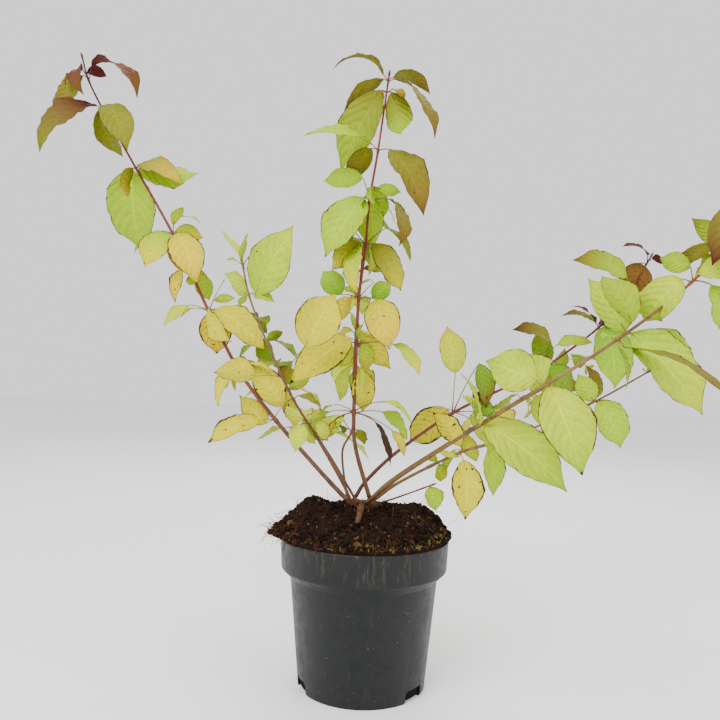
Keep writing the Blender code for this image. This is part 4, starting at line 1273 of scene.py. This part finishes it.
@dataclass
class Pot:
    """The turned pot: its rim, collar, body, foot and three notches, in metres."""

    materials: Materials
    height: float = 0.1644
    rim_radius: float = 0.095
    collar_foot_radius: float = 0.0930
    collar_foot_height: float = 0.131
    body_top_radius: float = 0.0828
    body_top_height: float = 0.1212
    base_radius: float = 0.0709
    wall: float = 0.0016
    floor: float = 0.0022
    sides: int = 144
    notch_depth: float = 0.016
    notch_width: float = 0.028
    notch_height: float = 0.013
    notch_corner: float = 0.004
    notch_turns: tuple = (-38.0, 82.0, 202.0)
    sharp_angle: float = 32.0

    def profile(self) -> tuple:
        """Radius and height of each ring, up the outside and down the inside.

        Returns:
            The rings.
        """
        rim, collar, body, base = (self.rim_radius, self.collar_foot_radius,
                                   self.body_top_radius, self.base_radius)
        outside = ((base - 0.0012, 0.0), (base - 0.0003, 0.0004), (base + 0.0002, 0.0014),
                   (body - 0.0001, self.body_top_height - 0.0010),
                   (body + 0.0004, self.body_top_height),
                   (collar - 0.0008, self.collar_foot_height - 0.0008),
                   (collar - 0.0001, self.collar_foot_height),
                   (collar + 0.0001, self.collar_foot_height + 0.0012),
                   (rim - 0.0004, self.height - 0.0030), (rim, self.height - 0.0022),
                   (rim, self.height - 0.0007), (rim - 0.0005, self.height))
        inside = ((rim - self.wall + 0.0003, self.height), (rim - self.wall, self.height - 0.0006),
                  (collar - self.wall, self.collar_foot_height + 0.0006),
                  (body - self.wall, self.body_top_height + 0.0006), (base - self.wall, self.floor))
        return outside + inside

    def build(self) -> None:
        """Turn the wall, cut the notches and stand the pot for its node."""
        pot = self.turn_wall()
        for turn in self.notch_turns:
            self.cut_notch(pot, turn)
        pot.data.shade_smooth()
        pot.data.set_sharp_from_angle(angle=radians(self.sharp_angle))
        pot.data.materials.append(self.materials.pot)
        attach(pot, BODY)
        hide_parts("pot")
        LOG.info("%s: %d points", pot.name, len(pot.data.vertices))

    def turn_wall(self) -> bpy.types.Object:
        """Extrude a disc ring by ring, widening or narrowing it to the profile.

        Returns:
            The pot's closed shell.
        """
        rings = self.profile()
        bpy.ops.object.select_all(action="DESELECT")
        bpy.ops.mesh.primitive_circle_add(vertices=self.sides, radius=rings[0][0],
                                          fill_type="NGON", calc_uvs=False)
        pot = bpy.context.object
        pot.name = pot.data.name = "pot_shell"
        bpy.ops.object.mode_set(mode="EDIT")
        bpy.ops.mesh.select_all(action="SELECT")
        for (radius, height), (next_radius, next_height) in zip(rings, rings[1:]):
            rise = {"value": (0, 0, next_height - height)}
            bpy.ops.mesh.extrude_region_move(TRANSFORM_OT_translate=rise)
            share = next_radius / radius
            bpy.ops.transform.resize(value=(share, share, 1), center_override=(0, 0, 0))
        bpy.ops.mesh.select_all(action="SELECT")
        bpy.ops.mesh.normals_make_consistent(inside=False)
        bpy.ops.object.mode_set(mode="OBJECT")
        return pot

    def cut_notch(self, pot: bpy.types.Object, turn: float) -> None:
        """Cut one rounded notch through the foot of the wall.

        Args:
            pot: the pot.
            turn: degrees round the pot.
        """
        bpy.ops.object.select_all(action="DESELECT")
        bpy.ops.mesh.primitive_cube_add(size=1.0)
        cutter = bpy.context.object
        cutter.scale = (self.notch_depth, self.notch_width, self.notch_height * 2)
        bpy.ops.object.transform_apply(location=False, rotation=False, scale=True)
        bevel = cutter.modifiers.new("corner", "BEVEL")
        bevel.width = self.notch_corner
        bevel.segments = 5
        middle = self.base_radius - 0.001
        cutter.location = (middle * cos(radians(turn)), middle * sin(radians(turn)), 0)
        cutter.rotation_euler = (0, 0, radians(turn))
        notch = pot.modifiers.new("notch", "BOOLEAN")
        notch.operation = "DIFFERENCE"
        notch.object = cutter
        bpy.context.view_layer.objects.active = pot
        bpy.ops.object.modifier_apply(modifier=notch.name)
        bpy.data.objects.remove(cutter, do_unlink=True)


@dataclass
class Ground:
    """The soil: its filled body and heap, clods, crumbs, moss and root hairs."""

    materials: Materials
    pot: Pot
    rng: random.Random
    edge_height: float = 0.1662
    edge_play: float = 0.0012
    rise: float = 0.0325
    slope: float = 2.6
    slope_front: float = 1.1
    humps: tuple = ((-0.066, 0.012, 0.017, 0.020), (0.070, 0.010, 0.013, 0.026),
                    (0.020, -0.050, 0.004, 0.022), (-0.030, 0.060, 0.005, 0.024))
    left_lip: float = 0.0150
    right_lip: float = 0.0060
    wall_play: float = 0.0006
    sides: int = 200
    rings: int = 60
    coarse_relief: float = 0.0022
    fine_relief: float = 0.0030
    clods: int = 260
    crumbs: int = 2600
    moss_dabs: int = 420
    fibres: int = 320
    fibre_joints: int = 7

    def build(self) -> None:
        """Build the heap and all that lies on it."""
        self.fill()
        self.add_clods()
        self.add_crumbs()
        self.add_moss()
        self.add_fibres()

    def edge(self, turn: float) -> float:
        """Radius of the soil's edge, which laps over the rim at both sides.

        Args:
            turn: angle round the pot.

        Returns:
            The radius.
        """
        left = max(0.0, cos(turn - pi)) ** 10 * self.left_lip
        right = max(0.0, cos(turn)) ** 14 * self.right_lip
        return self.pot.rim_radius - self.pot.wall - self.edge_play + left + right

    def height(self, x: float, y: float) -> float:
        """Height of the heap, as in the solid.

        Args:
            x: metres to the right.
            y: metres back.

        Returns:
            The height.
        """
        turn = atan2(y, x)
        share = min(1.0, (x * x + y * y) ** 0.5 / self.edge(turn))
        slope = self.slope - (self.slope - self.slope_front) * max(0.0, -sin(turn)) ** 0.8
        height = self.edge_height + self.rise * (1 - share ** slope)
        for hump_x, hump_y, rise, wide in self.humps:
            away = ((x - hump_x) ** 2 + (y - hump_y) ** 2) / (wide * wide)
            height += rise * (1 - share ** 6) * exp(-away)
        return height

    def on_heap(self, turn: float, share: float) -> Vector:
        """Point of the heap at an angle and a share of the radius.

        Args:
            turn: angle round the pot.
            share: 0 in the middle and 1 at the edge.

        Returns:
            The point.
        """
        radius = self.edge(turn) * share
        x, y = radius * cos(turn), radius * sin(turn)
        return Vector((x, y, self.height(x, y)))

    def spot(self, least: float, most: float) -> Vector:
        """A random point on the heap.

        Args:
            least: least share of the radius.
            most: greatest share of the radius.

        Returns:
            The point.
        """
        turn = self.rng.uniform(0, 2 * pi)
        return self.on_heap(turn, self.rng.uniform(least ** 2, most ** 2) ** 0.5)

    def edge_spot(self, middle: float, spread: float, inset: float) -> Vector:
        """A random point near the heap's edge, around one side.

        Args:
            middle: angle of that side.
            spread: how far it strays round the pot.
            inset: least share of the radius it keeps from the edge.

        Returns:
            The point.
        """
        turn = self.rng.gauss(middle, spread)
        return self.on_heap(turn, 1 - abs(self.rng.gauss(0, 0.08)) - inset)

    def fill(self) -> None:
        """Turn the filled body inside the pot and heap its crumbly top."""
        pot = self.pot
        inset = pot.wall + self.wall_play
        low = pot.floor + 0.0003
        body = ((0.001, low), (pot.base_radius - inset, low),
                (pot.body_top_radius - inset, pot.body_top_height + 0.0008),
                (pot.collar_foot_radius - inset, pot.collar_foot_height + 0.0012),
                (pot.rim_radius - inset, pot.height))
        around = [2 * pi * k / self.sides for k in range(self.sides)]
        rings = [[Vector((r * cos(t), r * sin(t), z)) for t in around] for r, z in body]
        tints = [PEAT] * len(body)
        for index in range(self.rings + 1):
            share = 1 - index / self.rings * 0.995
            rings.append([self.crumbly(t, share) for t in around])
            tints.append(mix(PEAT, PEAT_BROWN, 0.2))
        surface = Surface()
        surface.add_rings(rings, tints)
        heap = surface.build("soil_heap", self.materials.soil, "soil")
        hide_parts("soil")

    def crumbly(self, turn: float, share: float) -> Vector:
        """Point of the heap with its relief, which fades out at the edge.

        Args:
            turn: angle round the pot.
            share: 0 in the middle and 1 at the edge.

        Returns:
            The point.
        """
        point = self.on_heap(turn, share)
        flat = Vector((point.x, point.y, 0))
        rough = noise.fractal(flat * 210, 0.8, 2.0, 5) * self.fine_relief
        rough += noise.noise(flat * 70) * self.coarse_relief
        point.z += rough * min(1.0, (1 - share) * 14)
        return point

    def lump(self, surface: Surface, centre: Vector, size: float, tint: Colour) -> None:
        """Add one rough grain.

        Args:
            surface: the joined grains.
            centre: its centre.
            size: its radius.
            tint: its colour.
        """
        form = bmesh.new()
        bmesh.ops.create_icosphere(form, subdivisions=1, radius=size)
        spin = Matrix.Rotation(self.rng.uniform(0, 6.28), 3, Vector((
            self.rng.uniform(-1, 1), self.rng.uniform(-1, 1), 0.4)))
        start = len(surface.points)
        flat = self.rng.uniform(0.55, 1.0)
        for vertex in form.verts:
            spread = self.rng.uniform(0.72, 1.28)
            grain = Vector((vertex.co.x * spread, vertex.co.y, vertex.co.z * flat * spread))
            surface.points.append(centre + spin @ grain)
            surface.tints.append(tint)
        surface.faces.extend(tuple(start + v.index for v in f.verts) for f in form.faces)
        form.free()

    def add_clods(self) -> None:
        """Heap larger clods along the edge, most of them on the left lip."""
        surface = Surface()
        for index in range(self.clods):
            point = self.edge_spot(pi, 0.6, 0.03) if index % 2 else self.edge_spot(0.0, 1.9, 0.04)
            size = self.rng.uniform(0.0014, 0.0040)
            tint = PEAT if self.rng.random() < 0.75 else PEAT_BROWN
            self.lump(surface, point + Vector((0, 0, size * 0.25)), size, tint)
        surface.build("soil_clods", self.materials.soil, "soil", smooth=False)

    def add_crumbs(self) -> None:
        """Scatter crumbs over the heap, more along its edge."""
        surface = Surface()
        for index in range(self.crumbs):
            point = self.spot(0.80, 1.0) if index % 3 == 0 else self.spot(0.05, 1.0)
            size = self.rng.uniform(0.0007, 0.0021) * (2.0 if index % 9 == 0 else 1.0)
            pick = self.rng.random()
            tint = PEAT if pick < 0.66 else PEAT_BROWN if pick < 0.93 else PEAT_TAN
            self.lump(surface, point + Vector((0, 0, size * 0.4)), size, tint)
        surface.build("soil_crumbs", self.materials.soil, "soil", smooth=False)

    def add_moss(self) -> None:
        """Dab moss along the front and right of the rim."""
        surface = Surface()
        for _ in range(self.moss_dabs):
            tint = MOSS if self.rng.random() < 0.6 else MOSS_PALE
            point = self.edge_spot(radians(-55), 0.70, 0.015)
            self.lump(surface, point + Vector((0, 0, 0.0008)), self.rng.uniform(0.0005, 0.0014), tint)
        surface.build("soil_moss", self.materials.soil, "soil", smooth=False)

    def add_fibres(self) -> None:
        """Lay root hairs over the heap, a third of them over the left lip."""
        surface = Surface()
        for index in range(self.fibres):
            over_lip = index % 3 == 0
            start = self.edge_spot(pi, 0.5, 0.0) if over_lip else self.spot(0.1, 1.0)
            out = Vector((start.x, start.y, 0)).normalized()
            way = (out * self.rng.uniform(0.0, 1.0) + self.stray(1.0, 0.0, 0.9)).normalized()
            points = [start + Vector((0, 0, 0.0004))]
            length = self.rng.uniform(0.007, 0.022)
            for _ in range(self.fibre_joints):
                way = (way + self.stray(0.5, -0.55, 0.35)).normalized()
                points.append(points[-1] + way * (length / self.fibre_joints))
            thick = self.rng.uniform(0.00012, 0.00028) * (1.2 if over_lip else 1.0)
            tint = PEAT_TAN if self.rng.random() < 0.35 else PEAT_BROWN
            surface.add_rings(rings_along(points, [thick] * len(points), 4), [tint] * len(points))
        surface.build("soil_fibres", self.materials.soil, "soil")

    def stray(self, aside: float, low: float, high: float) -> Vector:
        """A random push.

        Args:
            aside: the most it pushes along X and Y.
            low: the least it pushes up.
            high: the most it pushes up.

        Returns:
            The push.
        """
        return Vector((self.rng.uniform(-aside, aside), self.rng.uniform(-aside, aside),
                       self.rng.uniform(low, high)))


@dataclass
class Crown:
    """The gnarled foot of the shrub and its old stub."""

    materials: Materials
    merge: float = 0.00001
    voxel: float = 0.0007
    smoothing: int = 3
    relief: float = 0.0007
    relief_scale: float = 330.0
    stub_reach: float = 0.04
    knuckle_bark: Colour = (0.080, 0.032, 0.014)
    stub_bark: Colour = (0.120, 0.064, 0.028)

    def build(self, frame: dict) -> None:
        """Round off the crown's solid, roughen it and stand it for its node.

        Args:
            frame: the loaded frame.
        """
        solid = frame["nodes"]["crown"].data
        surface = Surface([v.co.copy() for v in solid.vertices],
                          [tuple(p.vertices) for p in solid.polygons],
                          [self.knuckle_bark] * len(solid.vertices))
        crown = surface.build("crown_bark", self.materials.old, "old_wood")
        self.apply(crown, "WELD", merge_threshold=self.merge)
        self.apply(crown, "REMESH", mode="VOXEL", voxel_size=self.voxel)
        self.apply(crown, "SMOOTH", iterations=self.smoothing)
        self.roughen(crown.data)
        self.colour(crown.data)
        crown.data.shade_smooth()
        crown.data.materials.clear()
        crown.data.materials.append(self.materials.old)
        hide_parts("crown")

    def apply(self, crown: bpy.types.Object, kind: str, **values: float | str) -> None:
        """Add one modifier and apply it.

        Args:
            crown: the crown.
            kind: the modifier's type name.
            values: its settings.
        """
        bpy.ops.object.select_all(action="DESELECT")
        bpy.context.view_layer.objects.active = crown
        crown.select_set(True)
        modifier = crown.modifiers.new(kind.lower(), kind)
        for key, value in values.items():
            setattr(modifier, key, value)
        bpy.ops.object.modifier_apply(modifier=modifier.name)

    def roughen(self, mesh: bpy.types.Mesh) -> None:
        """Push the bark in and out along its normals.

        Args:
            mesh: the crown's mesh.
        """
        for vertex in mesh.vertices:
            depth = noise.fractal(vertex.co * self.relief_scale, 0.9, 2.0, 4) * self.relief
            vertex.co += vertex.normal * depth

    def colour(self, mesh: bpy.types.Mesh) -> None:
        """Colour the knuckles and, out along the stub, the paler wood.

        Args:
            mesh: the crown's mesh.
        """
        old = mesh.attributes.get("tint")
        if old:
            mesh.attributes.remove(old)
        tint = mesh.attributes.new("tint", "FLOAT_COLOR", "POINT")
        values = []
        for vertex in mesh.vertices:
            share = min(1.0, max(0.0, -vertex.co.y / self.stub_reach))
            values.extend((*mix(self.knuckle_bark, self.stub_bark, share), 1.0))
        tint.data.foreach_set("color", values)


@dataclass
class Studio:
    """Pale floor, soft light and the photo's camera."""

    lens: float = 36.0
    sensor: float = 36.0
    place: tuple = (-0.0107, -0.821, 0.346)
    pitch: float = 1.21
    roll: float = 1.55
    floor_side: float = 14.0
    floor_colour: tuple = (0.93, 0.93, 0.93, 1.0)
    sky_strength: float = 1.25
    aim: tuple = (0, 0, 0.35)

    def build(self) -> None:
        """Set the stage."""
        self.lay_floor()
        self.set_camera()
        self.hang_lamp("key", (-0.9, -1.5, 2.0), 1.4, 60.0)
        self.hang_lamp("fill", (1.5, -1.0, 1.3), 1.6, 20.0)
        self.hang_lamp("back", (0.2, 1.6, 1.9), 1.8, 26.0)
        self.light_sky()

    def lay_floor(self) -> None:
        """Lay the pale floor."""
        bpy.ops.object.select_all(action="DESELECT")
        bpy.ops.mesh.primitive_plane_add(size=self.floor_side, location=(0, 0, 0))
        floor = bpy.context.object
        floor.name = "floor"
        material = bpy.data.materials.new("pale_floor")
        material.use_nodes = True
        shader = material.node_tree.nodes["Principled BSDF"]
        shader.inputs["Base Color"].default_value = self.floor_colour
        shader.inputs["Roughness"].default_value = 0.7
        floor.data.materials.append(material)

    def set_camera(self) -> None:
        """Place the camera where the photo was taken."""
        data = bpy.data.cameras.new("photo")
        data.lens = self.lens
        data.sensor_width = self.sensor
        camera = bpy.data.objects.new("photo", data)
        bpy.context.scene.collection.objects.link(camera)
        camera.matrix_world = (Matrix.Translation(self.place)
                               @ Matrix.Rotation(pi / 2 + radians(self.pitch), 4, "X")
                               @ Matrix.Rotation(radians(self.roll), 4, "Z"))
        bpy.context.scene.camera = camera

    def hang_lamp(self, name: str, place: tuple, size: float, power: float) -> None:
        """Hang one soft lamp aimed at the plant.

        Args:
            name: the lamp's name.
            place: where it hangs.
            size: its side.
            power: its watts.
        """
        data = bpy.data.lights.new(name, "AREA")
        data.size = size
        data.energy = power
        lamp = bpy.data.objects.new(name, data)
        lamp.location = place
        way = Vector(self.aim) - Vector(place)
        lamp.rotation_euler = way.to_track_quat("-Z", "Y").to_euler()
        bpy.context.scene.collection.objects.link(lamp)

    def light_sky(self) -> None:
        """Light the plant evenly from all round."""
        world = bpy.data.worlds.new("studio")
        bpy.context.scene.world = world
        world.use_nodes = True
        back = world.node_tree.nodes["Background"]
        back.inputs["Color"].default_value = (1.0, 1.0, 1.0, 1.0)
        back.inputs["Strength"].default_value = self.sky_strength


def main() -> None:
    """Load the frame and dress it."""
    logging.basicConfig(level=logging.INFO, format="%(message)s")
    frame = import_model()
    materials = Materials()
    pot = Pot(materials)
    pot.build()
    Ground(materials, pot, random.Random(SEED + 1)).build()
    Crown(materials).build(frame)
    dice = random.Random(SEED)
    limbs = [Limb(name, cane, materials, dice) for name, cane in CANES.items()]
    yard = []
    for limb in limbs:
        limb.place(frame, yard)
    for limb in limbs:
        limb.add_twins(yard)
    for limb in limbs:
        limb.build()
    Studio().build()


if __name__ == "__main__":
    main()
